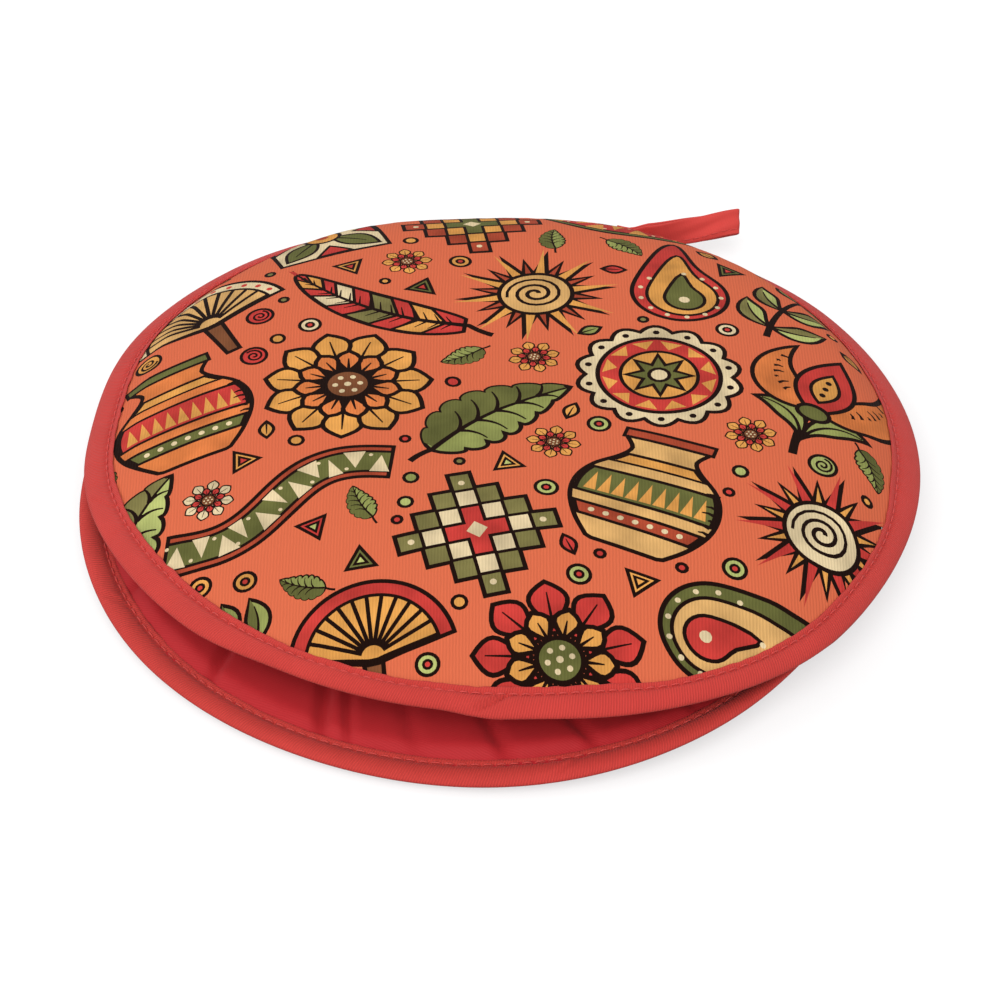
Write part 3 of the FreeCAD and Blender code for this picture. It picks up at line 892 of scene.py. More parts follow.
def woven_band(length=66.0, width=13.0, field="red", points="gold", edge="moss"):
    """Ribbon in a slow S with a zigzag down the middle."""
    path = []
    count = steps(length, 30)
    for i in range(count + 1):
        t = i / count
        path.append(complex(length * (t - 0.5), 5.5 * math.sin(TURN * (t - 0.5))))
    outer = strip(path, lambda t: width / 2)
    shapes = inked(outer, edge)
    left, right = widths_along(path, lambda t: width / 2 - 2.3)
    shapes += inked(left + right[::-1], field, FINE)
    tips = 11
    for i in range(tips):
        a, b, c = (round(count * (i + k) / tips) for k in (0.08, 0.5, 0.92))
        up, down = (left, right) if i % 2 else (right, left)
        shapes += blot([up[a], up[c], down[b] + (up[b] - down[b]) * 0.18], points)
        shapes += blot(round_outline(down[a] * 0.82 + up[a] * 0.18, 0.6), "cream")
    return shapes


def palm_fan(field="tan", edge="cream"):
    """Plaited hand fan with ribs and a bound handle."""
    shapes = inked([complex(x, y) for x, y in ((-1.9, -22), (1.9, -22), (2.6, -5), (-2.6, -5))],
                   "brown")
    rim = [cmath.rect(22, math.radians(a)) - 6j for a in range(8, 173, 5)]
    shapes += inked(rim + [complex(-1.5, -8), complex(1.5, -8)], edge)
    inner = [cmath.rect(17.8, math.radians(a)) - 6j for a in range(10, 171, 5)]
    shapes += inked(inner + [complex(-1.2, -7), complex(1.2, -7)], field, FINE)
    for a in range(24, 160, 13):
        way = cmath.rect(1, math.radians(a))
        shapes.append(pen(curve(way * 3 - 6j, way * 17.6 - 6j), 0.8, False))
    for a in range(17, 170, 13):
        way = cmath.rect(1, math.radians(a))
        shapes += blot(round_outline(way * 19.8 - 6j, 0.85), "red")
    return shapes


def clay_jar(body="orange", band="red", glaze="moss"):
    """Painted earthenware jar with bands of points and dots."""
    turned = ((8, -20), (9.5, -19.5), (14, -14), (17.3, -7), (17.8, 0), (15.5, 6), (10.5, 11),
              (8.4, 14), (8.6, 16), (11, 19.5), (11, 21))
    side = [complex(*spot) for spot in turned]
    side = [side[0]] + smooth_curve(side[1:]) + [side[-1]]
    shapes = inked(side + other_side(side), body)

    def belt(low, high, ink, trim=1.1):
        """Band round the jar between two heights, just inside its outline."""
        right = [p - trim for p in smooth_curve(side) if low <= p.imag <= high]
        return inked(right + other_side(right), ink, FINE)

    shapes += belt(-13, -8.5, glaze)
    shapes += belt(-5, 5, band)
    shapes += belt(8.5, 12.5, "gold")
    for i in range(-4, 5):
        x = i * 3.4
        shapes += blot([complex(x - 1.5, -3.6), complex(x + 1.5, -3.6), complex(x, 3.2)], "gold")
    for i in range(-3, 4):
        shapes += blot(round_outline(complex(i * 3.6, -10.8), 0.8), "cream")
    shapes += inked([complex(-11.4, 18.8), complex(11.4, 18.8), complex(11.4, 22),
                     complex(-11.4, 22)], glaze, FINE)
    shapes += shading([complex(16.6, -9 + 2 * i) for i in range(9)], 1, 7, 3.6)
    return shapes


def tile(field="cream", corner="red", petal="moss"):
    """Glazed tile with four petals and a round in the middle."""
    square = [complex(x, y) for x, y in ((-16, -16), (16, -16), (16, 16), (-16, 16))]
    shapes = inked(square, field)
    for way in (1, 1j, -1, -1j):
        diagonal = way * cmath.rect(1, math.pi / 4)
        shapes += inked(petal_outline(curve(diagonal * 3, diagonal * 19.5), 8.2, 0.5), petal, FINE)
        shapes.append(pen(curve(diagonal * 4, diagonal * 15), 0.7))
        shapes += inked([way * complex(15.3, -5), way * complex(15.3, 5), way * 9.2], corner, FINE)
    shapes += inked(round_outline(0, 5.2), "gold")
    shapes += blot(round_outline(0, 1.9), "brick")
    return shapes


def bead(ink, radius=2.5):
    """Small round."""
    return inked(round_outline(0, radius), ink, SMALL_LINE)


def ring_bead(ink, middle, radius=3.8):
    """Small round in two inks."""
    shapes = inked(round_outline(0, radius), ink, SMALL_LINE)
    return shapes + inked(round_outline(0, radius * 0.38), middle, FINE)


def nested_wedge(ink, middle, radius=6.0):
    """Small triangle inside another."""
    corners = [cmath.rect(radius, TURN * i / 3 + math.pi / 2) for i in range(3)]
    return inked(corners, ink, SMALL_LINE) + inked([p * 0.42 for p in corners], middle, FINE)


def whorl(ink, radius=4.8):
    """Small round with a spiral in it."""
    shapes = inked(round_outline(0, radius), ink, SMALL_LINE)
    path = [cmath.rect(0.35 + (radius - 1.6) * t / 11, t) for t in [0.5 * k for k in range(23)]]
    return shapes + [(strip(path, lambda t: 0.45), "black")]


def melon_seed(ink, radius=3.4):
    """Small pointed oval with a line in it."""
    shapes = inked(petal_outline(curve(-1j * radius * 1.3, 1j * radius * 1.3), radius * 1.5), ink,
                   SMALL_LINE)
    return shapes + [pen([-1j * radius, 0j, 0.7j * radius], 0.6)]


def placed(motif, place, turn=0.0, size=1.0):
    """A motif's shapes moved to their place on the cloth; turn is in degrees."""
    way = cmath.rect(size, math.radians(turn))
    return [([place + p * way for p in outline], ink) for outline, ink in motif]


def main_motifs():
    """The large motifs, scattered as on a toss print: (motif, x, y, turn in degrees, size)."""
    layout = (
        (medallion(), 57, 10, 0, 1.4),
        (daisy(), -54, 3, 5, 1.46),
        (broad_leaf(), 1, -17, -52, 1.36),
        (clay_jar(), -114, -3, 14, 1.4),
        (tulip(), 113, 2, -20, 1.4),
        (palm_fan(), -108, 57, 24, 1.38),
        (feather(), -44, 60, 58, 1.28),
        (sunburst(), 14, 60, 10, 1.4),
        (curled_drop(), 65, 67, 20, 1.36),
        (sprig(), 113, 62, -34, 1.3),
        (tile(), -67, 110, 18, 1.3),
        (stepped_diamond(), -10, 116, 8, 1.26),
        (woven_band(), 62, 115, -24, 1.25),
        (broad_leaf("lime", "olive"), -128, -64, -24, 1.36),
        (woven_band(66, 13, "moss", "cream", "brick"), -77, -58, 22, 1.28),
        (stepped_diamond("olive", "cream", "red"), -7, -77, 14, 1.36),
        (clay_jar("tan", "moss", "brick"), 51, -55, -18, 1.4),
        (sunburst("red", "gold", "cream"), 110, -63, 0, 1.36),
        (sprig(4, "leaf", "moss"), -100, -106, 62, 1.15),
        (palm_fan("gold", "red"), -43, -119, 8, 1.3),
        (daisy(9, "red", "gold", "moss"), 21, -128, 20, 1.4),
        (curled_drop("moss", "tan", "red"), 77, -107, -60, 1.4),
        (tile("gold", "moss", "red"), 152, 44, 30, 0.95),
        (medallion("gold", "moss", "cream"), -155, 34, 0, 0.9),
    )
    straight = cmath.rect(1, math.radians(PRINT_TURN))
    return [placed(motif, complex(x, y) * straight, turn + PRINT_TURN, size)
            for motif, x, y, turn, size in layout]


def inside_outline(outline, spots):
    """For each spot, whether the closed outline winds round it."""
    start = np.array(outline)
    end = np.roll(start, -1)
    x, y = spots.real[:, None], spots.imag[:, None]
    left = (end.real - start.real) * (y - start.imag) - (x - start.real) * (end.imag - start.imag)
    upward = (start.imag <= y) & (end.imag > y) & (left > 0)
    downward = (end.imag <= y) & (start.imag > y) & (left < 0)
    return upward.sum(axis=1) != downward.sum(axis=1)


def small_motifs(motifs):
    """Small flowers, leaves, wedges, whorls and beads on the ground between the large motifs."""
    rng = random.Random(5)
    dark = [outline for motif in motifs for outline, ink in motif if ink == "black"]
    spots = [p for outline in dark for a, b in zip(outline, outline[1:] + outline[:1])
             for p in curve(a, b)]
    boxes = [(min(p.real for p in outline), max(p.real for p in outline),
              min(p.imag for p in outline), max(p.imag for p in outline), outline)
             for outline in dark]
    tree = kdtree.KDTree(len(spots))
    for i, p in enumerate(spots):
        tree.insert((p.real, p.imag, 0), i)
    tree.balance()
    kinds = (              # clear room round its middle, how many at most, and how it is drawn
        (11.0, 8, lambda: placed(daisy(8, rng.choice(("gold", "cream")), "red"), 0, 0, 0.44)),
        (9.8, 10, lambda: placed(broad_leaf("leaf", "moss", 34, 20), 0, 0, 0.5)),
        (8.2, 12, lambda: nested_wedge(rng.choice(("red", "moss", "gold")),
                                       rng.choice(("lime", "gold", "red")))),
        (7.2, 12, lambda: whorl(rng.choice(("red", "gold", "lime")))),
        (6.4, 14, lambda: ring_bead(rng.choice(("lime", "gold", "cream")), "red")),
        (5.4, 12, lambda: melon_seed(rng.choice(("leaf", "gold", "red")))),
        (5.0, 40, lambda: bead(rng.choice(("leaf", "gold", "red", "lime")))),
        (3.9, 20, lambda: bead(rng.choice(("olive", "red", "gold")), 1.7)),
    )
    tries = 900
    taken, made = [], []
    for room, most, draw in kinds:
        some = 0
        for _ in range(tries):
            spot = cmath.rect(RIM * math.sqrt(rng.random()), rng.random() * TURN)
            if tree.find((spot.real, spot.imag, 0))[2] < room:
                continue
            if any(abs(spot - other) < room + other_room for other, other_room in taken):
                continue
            if any(x0 < spot.real < x1 and y0 < spot.imag < y1
                   and inside_outline(outline, np.array([spot]))[0]
                   for x0, x1, y0, y1, outline in boxes):
                continue
            taken.append((spot, room))
            made.append(placed(draw(), spot, rng.random() * 360))
            some += 1
            if some == most:
                break
    return made


def grid_spots(radius, pitch):
    """Spots of a honeycomb grid inside a circle."""
    row_pitch = pitch * 0.866                  # height of a triangle with equal sides
    rows = round(radius / row_pitch)
    spots = [complex((column + row % 2 / 2) * pitch, row * row_pitch)
             for row in range(-rows, rows + 1) for column in range(-rows, rows + 1)]
    return [p for p in spots if abs(p) < radius]


def subdivided(outline):
    """The closed outline with its long straight parts divided."""
    close = []
    for a, b in zip(outline, outline[1:] + outline[:1]):
        parts = max(1, round(abs(b - a) / OUTLINE_PART))
        close += [a + (b - a) * i / parts for i in range(parts)]
    return [p for i, p in enumerate(close) if abs(p - close[i - 1]) > TOO_CLOSE]


def flat_vectors(spots):
    """The spots as the vectors that Blender's triangulation takes."""
    return [Vector((p.real, p.imag)) for p in spots]


def cut_print(radius, grid):
    """The flat printed cloth as triangles: (spots, faces, the ink of each face)."""
    motifs = main_motifs()
    shapes = [(round_outline(0, radius), "ground")]
    for motif in motifs + small_motifs(motifs):
        shapes += motif
    spots, edges, printed = [], [], []
    for outline, ink in shapes:
        clear = subdivided(outline)
        if len(clear) < 3 or min(abs(p) for p in clear) > radius:
            continue
        first, count = len(spots), len(clear)
        edges += [(first + i, first + (i + 1) % count) for i in range(count)]
        spots += flat_vectors(clear)
        printed.append((clear, ink))
    spots += flat_vectors(grid_spots(radius - 1.0, grid))
    flat = delaunay_2d_cdt(spots, edges, [], 0, WELD, False)
    spots, faces = np.array([complex(*p) for p in flat[0]]), np.array(flat[2])
    faces = faces[inside_outline(shapes[0][0], spots[faces].mean(axis=1))]
    inks = top_inks(spots[faces].mean(axis=1), printed)
    used, faces = np.unique(faces, return_inverse=True)
    faces = faces.reshape(-1, 3).tolist()
    return [complex(p) for p in spots[used]], faces, inks


def top_inks(middles, printed):
    """The ink at each spot: shapes print over the ones before them, and the first is the
    ground."""
    top = np.zeros(len(middles), int)
    for number, (outline, _) in enumerate(printed[1:], 1):
        ring = np.array(outline)
        near = np.flatnonzero((middles.real > ring.real.min()) & (middles.real < ring.real.max())
                              & (middles.imag > ring.imag.min())
                              & (middles.imag < ring.imag.max()))
        top[near[inside_outline(outline, middles[near])]] = number
    return [printed[i][1] for i in top]


# ------------------------------------------------------------------ covers, wadding and linings

COVER_EDGE = RIM - 6.6        # the cloth ends under the tape
WADDING_EDGE = RIM - 5.0
PRINT_GRID = 4.5              # between the mesh points inside a printed cover
LINING_GRID = 1.9             # a lining, whose folds are narrow
WADDING_GRID = 6.0            # and a pad
HELD = 8.5                    # the stitches hold it flat this far inside the edge
TUCKED = 0.55                 # how deep it is pressed under the tape
COVER_RELEASE = 4.5           # it comes up to its full height over this
PUCKER = 0.45                 # height of the puckers beside the tape
PUCKER_REACH = 7.0            # and how fast they die away


def cover_relief(disc, seed):
    """Depth of a cover: it lies unevenly on the wadding and puckers towards its stitching."""
    def depth(x, y, share):
        """How far below the disc's outer face the cloth lies."""
        angle = math.atan2(y, x)
        inset = RIM * (1 - share) / disc.tape_share(angle)
        near = math.exp(-max(inset - TAPE_WIDTH, 0) / PUCKER_REACH)
        free = ease((inset - HELD) / COVER_RELEASE)
        uneven = 0.35 * soft_noise(x, y, 34.0, seed) + 0.15 * soft_noise(x, y, 13.0, seed + 5)
        pucker = PUCKER * edge_noise(angle, 5.5, seed + 9)
        lift = uneven * (1 - near) + pucker * near
        if disc is LowerDisc:                     # pressed flat by the table
            lift = min(lift, 0.0)
        return TUCKED * (1 - free) - lift * free
    return depth


LINING_RELEASE = 7.0          # the lining comes up over this
FOLD_REACH = 24.0             # its folds are full that far from the edge
FOLD_FADE = 45.0              # and then die away
LINING_PLUMP = 3.0            # how much plumper it is beside the mouth, between these folds:
LINING_FOLDS = (              # at deg, mm wide, how much of the plumpness it takes away
    (232, 2.2, 0.6), (253, 2.0, 0.9), (271.5, 2.4, 1.0), (275.5, 1.7, 0.8),
    (285, 3.2, 0.4), (297, 2.6, 0.7), (309, 2.2, 0.7), (324, 2.4, 0.6))
FOLD_LEAN = 0.4               # a fold moves this far aside for each mm from the edge


def lining_relief(seed):
    """Depth of a lining, looser than the cover, with folds that run in from the edge."""
    def depth(x, y, share):
        """How far inside the disc's outer face the cloth lies."""
        angle = math.atan2(y, x)
        inset = RIM * (1 - share)
        near = ease((inset - HELD) / LINING_RELEASE)
        near *= math.exp(-max(inset - FOLD_REACH, 0) / FOLD_FADE)
        folds = (0.2 + 0.7 * edge_noise(angle + inset * 0.0006, 13.0, seed)) * near
        gathers = 0.4 * edge_noise(angle, 4.0, seed + 7) * math.exp(-abs(inset - 12.0) / 4.0)
        plump = LINING_PLUMP * ease(2 * mouth_share(y)) * near
        for middle, width, lost in LINING_FOLDS:
            along = math.radians(degrees_past(angle, middle)) * (RIM - inset)
            along += FOLD_LEAN * (inset - 15.0)
            plump *= 1 - lost * math.exp(-(along / width) ** 2)
        uneven = 0.3 * soft_noise(x, y, 30.0, seed + 3)
        return quilt(share) + folds + gathers + plump + uneven
    return depth


def sew_cover(name, disc, cloth, turn, mirrored, seed, nodes):
    """A printed cover over one disc; the cloth is turned so that the two covers differ."""
    spots, faces, inks = cloth
    way = cmath.rect(1, math.radians(turn))
    laid = [(p.conjugate() if mirrored else p) * way for p in spots]
    relief = cover_relief(disc, seed)
    points = [lie_on_disc(disc, p, relief) for p in laid]
    faces = [f[::-1] for f in faces] if mirrored else faces
    lie = [(spots[i].real, spots[i].imag) for f in faces for i in f]
    # A colour's alpha is how much its ink varies; the dyed ground and the black are even.
    colours = {ink: linear(code)[:3] + [0.0 if ink in ("ground", "black") else 1.0]
               for ink, code in INKS.items()}
    cover = make_piece(name, points, faces, PRINTED_TWILL, lie, [colours[i] for i in inks])
    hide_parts(*nodes)
    follow(cover, disc)
    return cover


def plain_disc(radius, pitch):
    """Flat round cloth as triangles."""
    rim = flat_vectors(round_outline(0, radius))
    inside = flat_vectors(grid_spots(radius - pitch * 0.6, pitch))
    loop = [list(range(len(rim)))]
    flat = delaunay_2d_cdt(rim + inside, [], loop, 1, WELD)
    return [complex(*p) for p in flat[0]], flat[2]


def sew_lining(name, disc, seed, nodes):
    """A lining on the inner face of one disc."""
    spots, faces = plain_disc(COVER_EDGE, LINING_GRID)
    relief = lining_relief(seed)
    points = [lie_on_disc(disc, p, relief) for p in spots]
    if disc is UpperDisc:
        faces = [f[::-1] for f in faces]
    lie = [(spots[i].real, spots[i].imag) for f in faces for i in f]
    lining = make_piece(name, points, faces, LINING_POPLIN, lie)
    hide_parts(*nodes)
    follow(lining, disc)
    return lining


def fill_wadding(name, disc, nodes):
    """Closed pad between a cover and a lining."""
    spots, faces = plain_disc(WADDING_EDGE, WADDING_GRID)
    gap, thinnest = FABRIC + PLAY, 0.4
    outer = [lie_on_disc(disc, p, lambda x, y, share: gap) for p in spots]
    inner = [lie_on_disc(disc, p, lambda x, y, share: max(quilt(share) - gap, gap + thinnest))
             for p in spots]
    count = len(spots)
    rim = sorted((i for i in range(count) if abs(spots[i]) > WADDING_EDGE - 0.01),
                 key=lambda i: cmath.phase(spots[i]))
    shell = list(faces) + [[i + count for i in f[::-1]] for f in faces]
    for a, b in zip(rim, rim[1:] + rim[:1]):
        shell.append([b, a, a + count, b + count])
    if disc is LowerDisc:
        shell = [f[::-1] for f in shell]
    pad = make_piece(name, outer + inner, shell, POLYESTER_WADDING)
    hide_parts(*nodes)
    follow(pad, disc)
    return pad


# ------------------------------------------------------------------ tape and stitches

# Half of the tape's section, as (inset from the edge, offset from the disc's middle surface): its
# face from the folded-in edge round the nose, with a valley along the stitches, then its back.
TAPE_FACE = ((10.6, 1.35), (10.65, 1.8), (10.35, 2.05), (9.5, 2.05), (8.8, 1.9), (8.3, 1.75),
             (7.8, 1.85), (7.1, 2.1), (6.2, 2.35), (5.1, 2.45), (4.0, 2.4), (2.9, 2.2),
             (1.9, 1.85), (1.05, 1.35), (0.4, 0.8), (0.05, 0.25))
TAPE_BACK = ((10.3, 1.3), (6.6, 1.45), (3.2, 1.45), (1.3, 0.7))
EDGE_LENGTH = TURN * RIM
STITCHES = round(EDGE_LENGTH / STITCH_PITCH)
STATIONS_PER_STITCH = 5

CREASE_SLANT = 14.0           # along the edge, from one side of the tape's face to the other
CREASE_WIDTH = 1.1


def crease_relief(angle, inset, creases):
    """How much thinner the tape is in its creases, and plumper just before them."""
    relief = 0.0
    for middle, depth in creases:
        along = math.radians(degrees_past(angle, middle)) * RIM
        along -= CREASE_SLANT * (inset / STITCH_INSET - 0.5)
        ridge = 0.5 * math.exp(-((along + 2.6) / 1.9) ** 2)
        relief += depth * (ridge - math.exp(-(along / CREASE_WIDTH) ** 2))
    return relief


def tape_relief(angle, inset, seed, creases):
    """(how far a point of the tape moves in from the edge, how much plumper it is)"""
    wander = 0.28 * edge_noise(angle, 19.0, seed) + 0.12 * edge_noise(angle, 7.0, seed + 2)
    inner = 0.4 * edge_noise(angle, 4.5, seed + 8) * ease((inset - 8.6) / 2.0)
    swell = 0.22 * edge_noise(angle, 15.0, seed + 4) + 0.1 * edge_noise(angle, 5.0, seed + 6)
    swell += crease_relief(angle, inset, creases)
    swell *= ease(inset / 3.0) * ease((10.2 - inset) / 3.0)
    needle_hole = 0.5 + 0.5 * math.cos(angle * STITCHES)
    dimple = math.exp(-((inset - STITCH_INSET) / 0.9) ** 2) * (0.22 + 0.42 * needle_hole)
    return wander + inner, swell - dimple


BACK_MIDDLE = 90.0            # degrees
PRESSED_ANGLE = 110.0         # the two tapes lie together this far round from there
SEAM_SWELL = 1.25             # and bulge until they touch
SEAM_ANGLE = 104.0            # the closing seam's stitches start and end this far round


def tape_point(disc, angle, inset, offset, seed):
    """Point of a binding for a spot of its section."""
    shift, swell = tape_relief(angle, inset, seed, disc.creases)
    side = 1 if offset >= 0 else -1
    if side == disc.inward:
        sewn = ease((PRESSED_ANGLE - abs(degrees_past(angle, BACK_MIDDLE))) / 6.0)
        pressed = sewn * ease(inset / 1.6) * ease((7.5 - inset) / 3.0)
        swell += pressed * (SEAM_SWELL - 0.7 * swell)
    narrow = disc.narrowing(angle) * (1 - inset / TAPE_WIDTH)
    reached = (inset + shift * inset / TAPE_WIDTH) * disc.tape_share(angle)
    return edge_point(disc, angle, reached + narrow, offset + side * swell)


def bind_edge(name, disc, seed, nodes):
    """Tape folded over the edge of a disc, as one closed skin with its two plies."""
    section = list(TAPE_FACE) + [(inset, -offset) for inset, offset in reversed(TAPE_FACE)]
    section += [(inset, -offset) for inset, offset in TAPE_BACK] + list(reversed(TAPE_BACK))
    across = [0.0]
    for a, b in zip(section, section[1:] + section[:1]):
        across.append(across[-1] + math.dist(a, b))
    stations = STITCHES * STATIONS_PER_STITCH
    points = []
    for k in range(stations):
        angle = TURN * k / stations
        points += [tape_point(disc, angle, inset, offset, seed) for inset, offset in section]
    count = len(section)
    faces, lie = [], []
    for k in range(stations):
        after = (k + 1) % stations
        along = [EDGE_LENGTH * k / stations, EDGE_LENGTH * (k + 1) / stations]
        for i in range(count):
            j = (i + 1) % count
            faces.append((k * count + i, k * count + j, after * count + j, after * count + i))
            lie += [(along[0], across[i]), (along[0], across[i + 1]),
                    (along[1], across[i + 1]), (along[1], across[i])]
    tape = make_piece(name, points, faces, BIAS_TAPE, lie)
    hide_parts(*nodes)
    follow(tape, disc)
    return tape


THREAD_SIDES = 6
THREAD_RADIUS = 0.25
THREAD_END = 0.55             # share of the radius left where a stitch goes into the cloth
THREAD_STEP = 0.8             # along one stretch of a stitch, for the twist of its plies
THREAD_FACET = 0.3            # and round one side of it


def thread_along(path, lift, points, faces, lie):
    """Adds one stitch: a short thread along a path, round, with its ends drawn in."""
    first = len(points)
    last = len(path) - 1
    for k, p in enumerate(path):
        ahead = (path[min(k + 1, last)] - path[max(k - 1, 0)]).normalized()
        side = ahead.cross(lift).normalized()
        up = side.cross(ahead)
        radius = THREAD_RADIUS * (THREAD_END if k in (0, last) else 1.0)
        for i in range(THREAD_SIDES):
            turn = TURN * i / THREAD_SIDES
            points.append(p + (side * math.cos(turn) + up * math.sin(turn)) * radius)
    for k in range(last):
        along = k * THREAD_STEP, (k + 1) * THREAD_STEP
        row = first + k * THREAD_SIDES
        for i in range(THREAD_SIDES):
            j = (i + 1) % THREAD_SIDES
            around = i * THREAD_FACET, (i + 1) * THREAD_FACET
            faces.append((row + i, row + j, row + THREAD_SIDES + j, row + THREAD_SIDES + i))
            lie += [(along[0], around[0]), (along[0], around[1]),
                    (along[1], around[1]), (along[1], around[0])]
    for row, order in ((first, -1), (first + last * THREAD_SIDES, 1)):
        faces.append([row + i for i in range(THREAD_SIDES)][::order])
        lie += [(0.0, i * THREAD_FACET) for i in range(THREAD_SIDES)]


def stitch_rows(name, rows, nodes):
    """Rows of stitches as one piece; a row is a list of (path, lift)."""
    points, faces, lie = [], [], []
    for path, lift in rows:
        thread_along(path, lift, points, faces, lie)
    threads = make_piece(name, points, faces, POLYESTER_THREAD, lie)
    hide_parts(*nodes)
    return threads


def topstitch(name, disc, nodes):
    """Two rows through a binding, one on each face."""
    spans = 4                                  # straight parts of one stitch
    bare = 0.12                                # share of the pitch left bare at each of its ends
    low, bow = 1.62, 0.5                       # above the disc's middle surface
    rows = []
    for side in (1, -1):
        for stitch in range(STITCHES):
            path = []
            for k in range(spans + 1):
                share = k / spans
                angle = TURN * (stitch + bare + (1 - 2 * bare) * share) / STITCHES
                above = low + bow * math.sin(math.pi * share) ** 0.6
                inset = STITCH_INSET * disc.tape_share(angle)
                path.append(edge_point(disc, angle, inset, side * above))
            rows.append((path, Vector((0, 0, side))))
    threads = stitch_rows(name, rows, nodes)
    follow(threads, disc)
    return threads


def close_seam():
    """Overcast stitches that hold the two bindings together round the back."""
    first, last = (math.radians(BACK_MIDDLE + SEAM_ANGLE * side) for side in (-1, 1))
    pitch = 3.4
    spans = 5                                  # straight parts of one stitch
    lean = 0.7                                 # share of the pitch that a stitch slants
    half_height = 2.2
    count = round((last - first) * RIM / pitch)
    rows = []
    for stitch in range(count):
        path = []
        for k in range(spans + 1):
            share = k / spans
            angle = first + (last - first) * (stitch + share * lean) / count
            rise = half_height * (share * 2 - 1)
            out = 1.0 - 0.75 * math.sin(math.pi * share)
            above = edge_point(UpperDisc, angle, out, rise - TAPE_STACK / 2)
            below = edge_point(LowerDisc, angle, out, rise + TAPE_STACK / 2)
            path.append(below.lerp(above, ease(share)))
        middle = first + (last - first) * (stitch + lean / 2) / count
        rows.append((path, Vector((math.cos(middle), math.sin(middle), 0))))
    seam = stitch_rows("closing_seam_stitches", rows, ["closing_seam"])
    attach(seam, "pouch")


# ------------------------------------------------------------------ hanging loop

LOOP_ANGLE = math.radians(4.6)        # where its root is, round from the middle of the back
LOOP_LEVEL = 12.0
LOOP_WIDTH = 10.0
LOOP_PLY = 0.9
LOOP_EYE = 0.7                        # space between its plies
LOOP_SPREAD = 0.85                    # from the middle of that space to the middle of a ply
LOOP_CLEAR = 1.4                      # from the edge of the discs to that space
LOOP_TAIL = 10.0                      # the length that is sewn to the edge
LOOP_BEND = math.radians(33.0)        # it leaves along the seam and turns away from it
LOOP_BEND_RADIUS = 10.0
LOOP_STRAIGHT = 33.0
LOOP_TWIST = math.radians(54.0)       # at its fold
LOOP_SQUEEZE = 0.6                    # share of its width left where the seam holds it
LOOP_RISE = 2.1                       # its middle is this much higher where it leaves the seam
LOOP_FOLD_RISE = 1.5                  # and the fold this much more
LOOP_SKEW = 0.18                      # its upper edge runs this far ahead for each mm up
LOOP_HEM = 1.8                        # stitches, from its lower edge
LOOP_EDGE = edge_radius(math.pi / 2 + LOOP_ANGLE, UpperDisc)
LOOP_HEADING = cmath.rect(1, LOOP_ANGLE)
LOOP_ROOT = 1j * LOOP_HEADING * (LOOP_EDGE + LOOP_CLEAR + LOOP_EYE / 2)
LOOP_BEND_END = LOOP_BEND_RADIUS * complex(math.sin(LOOP_BEND), 1 - math.cos(LOOP_BEND))


def loop_point(spot, tall):
    """Point of the loop for a spot of its path, that high above its middle.  The tape is
    squeezed in the seam, then opens to its full width, rises and twists towards its fold."""
    opened = ease((spot.real + 6.0) / 10.0)
    out = ease(max(0.0, spot.real - 4.0) / 30.0)
    last_part = ease((spot.real - 18.0) / 15.0)
    tall *= LOOP_SQUEEZE + (1 - LOOP_SQUEEZE) * opened
    long_fold = 0.4 * math.sin(5.0 * out + 0.26 * tall)
    short_folds = 0.5 * math.sin(1.1 * tall - 0.2 * spot.real)
    away = cmath.rect(1, LOOP_BEND + math.pi / 2)
    flat = ((spot - LOOP_BEND_END) * away.conjugate()).real
    aside = flat + (long_fold + short_folds) * out
    twist = LOOP_TWIST * out
    shift = aside * math.cos(twist) - flat + tall * math.sin(twist)
    skew = LOOP_SKEW * tall * out * cmath.rect(1, LOOP_BEND)
    place = LOOP_ROOT + (spot + away * shift + skew) * LOOP_HEADING
    level = LOOP_LEVEL + LOOP_RISE * opened + LOOP_FOLD_RISE * last_part
    level += tall * math.cos(twist) - aside * math.sin(twist)
    return Vector((place.real, place.imag, level))


def loop_middle_line():
    """Points from the sewn tail along the seam, round the bend and out to the fold, as complex
    numbers in the plane of the table."""
    tail_parts, bend_parts, straight_parts = 4, 8, 14
    spots = [complex(LOOP_TAIL * (i / tail_parts - 1), 0) for i in range(tail_parts + 1)]
    for i in range(1, bend_parts + 1):
        turn = LOOP_BEND * i / bend_parts
        spots.append(LOOP_BEND_RADIUS * complex(math.sin(turn), 1 - math.cos(turn)))
    out = cmath.rect(LOOP_STRAIGHT, LOOP_BEND)
    return spots + [spots[-1] + out * i / straight_parts for i in range(1, straight_parts + 1)]


def doubled(middle):
    """Path of the tape: out on one side of the loop's middle line, round the fold and back."""
    there, back = widths_along(middle, lambda t: -LOOP_SPREAD)
    out = middle[-1] - middle[-2]
    out *= LOOP_SPREAD / abs(out)
    fold = [middle[-1] + out * cmath.rect(1, -math.pi / 2 + math.pi * i / 6) for i in range(1, 6)]
    return there + fold + back[::-1]


def tape_edge_on():
    """Section of the loop's tape, which stands on its edge, as (thick, tall)."""
    half, ply, corner, parts = LOOP_WIDTH / 2, LOOP_PLY / 2, 0.35, 6
    section = [(ply / 2, -half)]
    section += [(ply, (half - corner) * (i / parts - 1)) for i in range(2 * parts + 1)]
    section += [(ply / 2, half)]
    return section + [(-thick, tall) for thick, tall in reversed(section)]


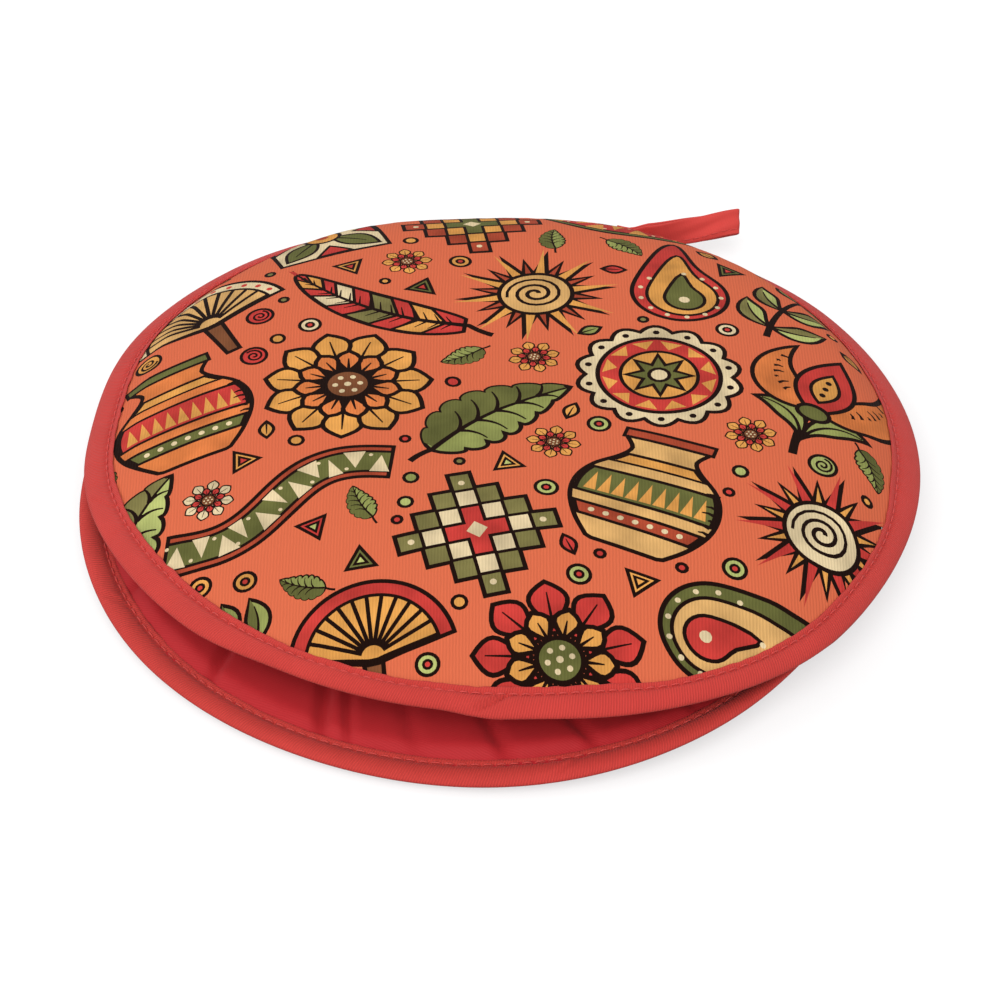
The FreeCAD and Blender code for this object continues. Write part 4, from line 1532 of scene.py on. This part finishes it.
def sew_hanging_loop(middle):
    """Tape doubled back on itself, on edge, with its ends in the seam."""
    path, section = doubled(middle), tape_edge_on()
    last, count = len(path) - 1, len(section)
    points, along = [], [0.0]
    for k, p in enumerate(path):
        ahead = path[min(k + 1, last)] - path[max(k - 1, 0)]
        side = ahead / abs(ahead) * 1j
        points += [loop_point(p + side * thick, tall) for thick, tall in section]
        along.append(along[-1] + abs(path[min(k + 1, last)] - p))
    faces, lie = [], []
    for k in range(last):
        for i in range(count):
            j = (i + 1) % count
            faces.append((k * count + i, (k + 1) * count + i, (k + 1) * count + j,
                          k * count + j))
            lie += [(along[k], section[i][1]), (along[k + 1], section[i][1]),
                    (along[k + 1], section[j][1]), (along[k], section[j][1])]
    for row, order in ((0, 1), (last, -1)):
        faces.append([row * count + i for i in range(count)][::order])
        lie += [(0.0, tall) for _, tall in section][::order]
    loop = make_piece("hanging_loop_tape", points, faces, LIT_PRESSED_TAPE, lie)
    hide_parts("hanging_loop", "loop_tail")
    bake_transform(loop)


def stitch_hanging_loop(middle):
    """A row of stitches near the lower edge of the free loop, on both of its outer faces."""
    low = LOOP_HEM - LOOP_WIDTH / 2
    parts = 40                                 # of the free length
    pitch, spans = 4, 3                        # in such parts: the pitch and length of a stitch
    free = curve_points([spot for spot in middle if spot.real > 0], parts + 1)
    rows = []
    for side in (1, -1):
        away = side * (LOOP_SPREAD + LOOP_PLY / 2 + 0.08)
        line, _ = widths_along(free, lambda t: away)
        for k in range(1, parts - spans + 1, pitch):
            path = [loop_point(spot, low) for spot in line[k:k + spans + 1]]
            across = (line[k + 1] - line[k]) * LOOP_HEADING * 1j * side
            rows.append((path, Vector((across.real, across.imag, 0))))
    threads = stitch_rows("hanging_loop_stitches", rows, ["loop_stitching"])
    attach(threads, "loop")


def tack_hanging_loop():
    """The bar tack that holds the sewn tail: upright stitches close together, in a zigzag."""
    count, pitch, start = 8, 0.42, -7.4        # start is from where the loop leaves the seam
    spans, half_height = 4, 4.4
    lean = 0.18                                # to either side by turns
    away = LOOP_HEADING * 1j
    rows = []
    for i in range(count):
        foot = complex(start + pitch * i, LOOP_SPREAD + LOOP_PLY / 2 + 0.14)
        path = []
        for k in range(spans + 1):
            up = 2 * k / spans - 1
            path.append(loop_point(foot + lean * (-1) ** i * up, half_height * up))
        rows.append((path, Vector((away.real, away.imag, 0))))
    tack = stitch_rows("bar_tack_stitches", rows, ["bar_tack"])
    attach(tack, "pouch")


# ------------------------------------------------------------------ putting it together

def both_nodes(layer):
    """The two CAD nodes of a layer of the upper disc."""
    return [layer + "_rear", layer + "_flap"]


printed_cloth = cut_print(COVER_EDGE, PRINT_GRID)
top_cover = sew_cover("top_cover_cloth", UpperDisc, printed_cloth, turn=0.0, mirrored=False,
                      seed=1.0, nodes=both_nodes("top_cover"))
bottom_cover = sew_cover("bottom_cover_cloth", LowerDisc, printed_cloth, turn=140.0,
                         mirrored=True, seed=11.0, nodes=["bottom_cover"])
top_pad = fill_wadding("top_wadding_pad", UpperDisc, both_nodes("top_wadding"))
bottom_pad = fill_wadding("bottom_wadding_pad", LowerDisc, ["bottom_wadding"])
top_lining = sew_lining("top_lining_cloth", UpperDisc, seed=21.0,
                        nodes=both_nodes("top_lining"))
bottom_lining = sew_lining("bottom_lining_cloth", LowerDisc, seed=31.0,
                           nodes=["bottom_lining"])
top_tape = bind_edge("top_binding_tape", UpperDisc, seed=41.0, nodes=both_nodes("top_binding"))
bottom_tape = bind_edge("bottom_binding_tape", LowerDisc, seed=51.0, nodes=["bottom_binding"])
topstitch("top_stitches", UpperDisc, both_nodes("top_stitching"))
topstitch("bottom_stitches", LowerDisc, ["bottom_stitching"])
close_seam()
loop_middle = loop_middle_line()
sew_hanging_loop(loop_middle)
stitch_hanging_loop(loop_middle)
tack_hanging_loop()
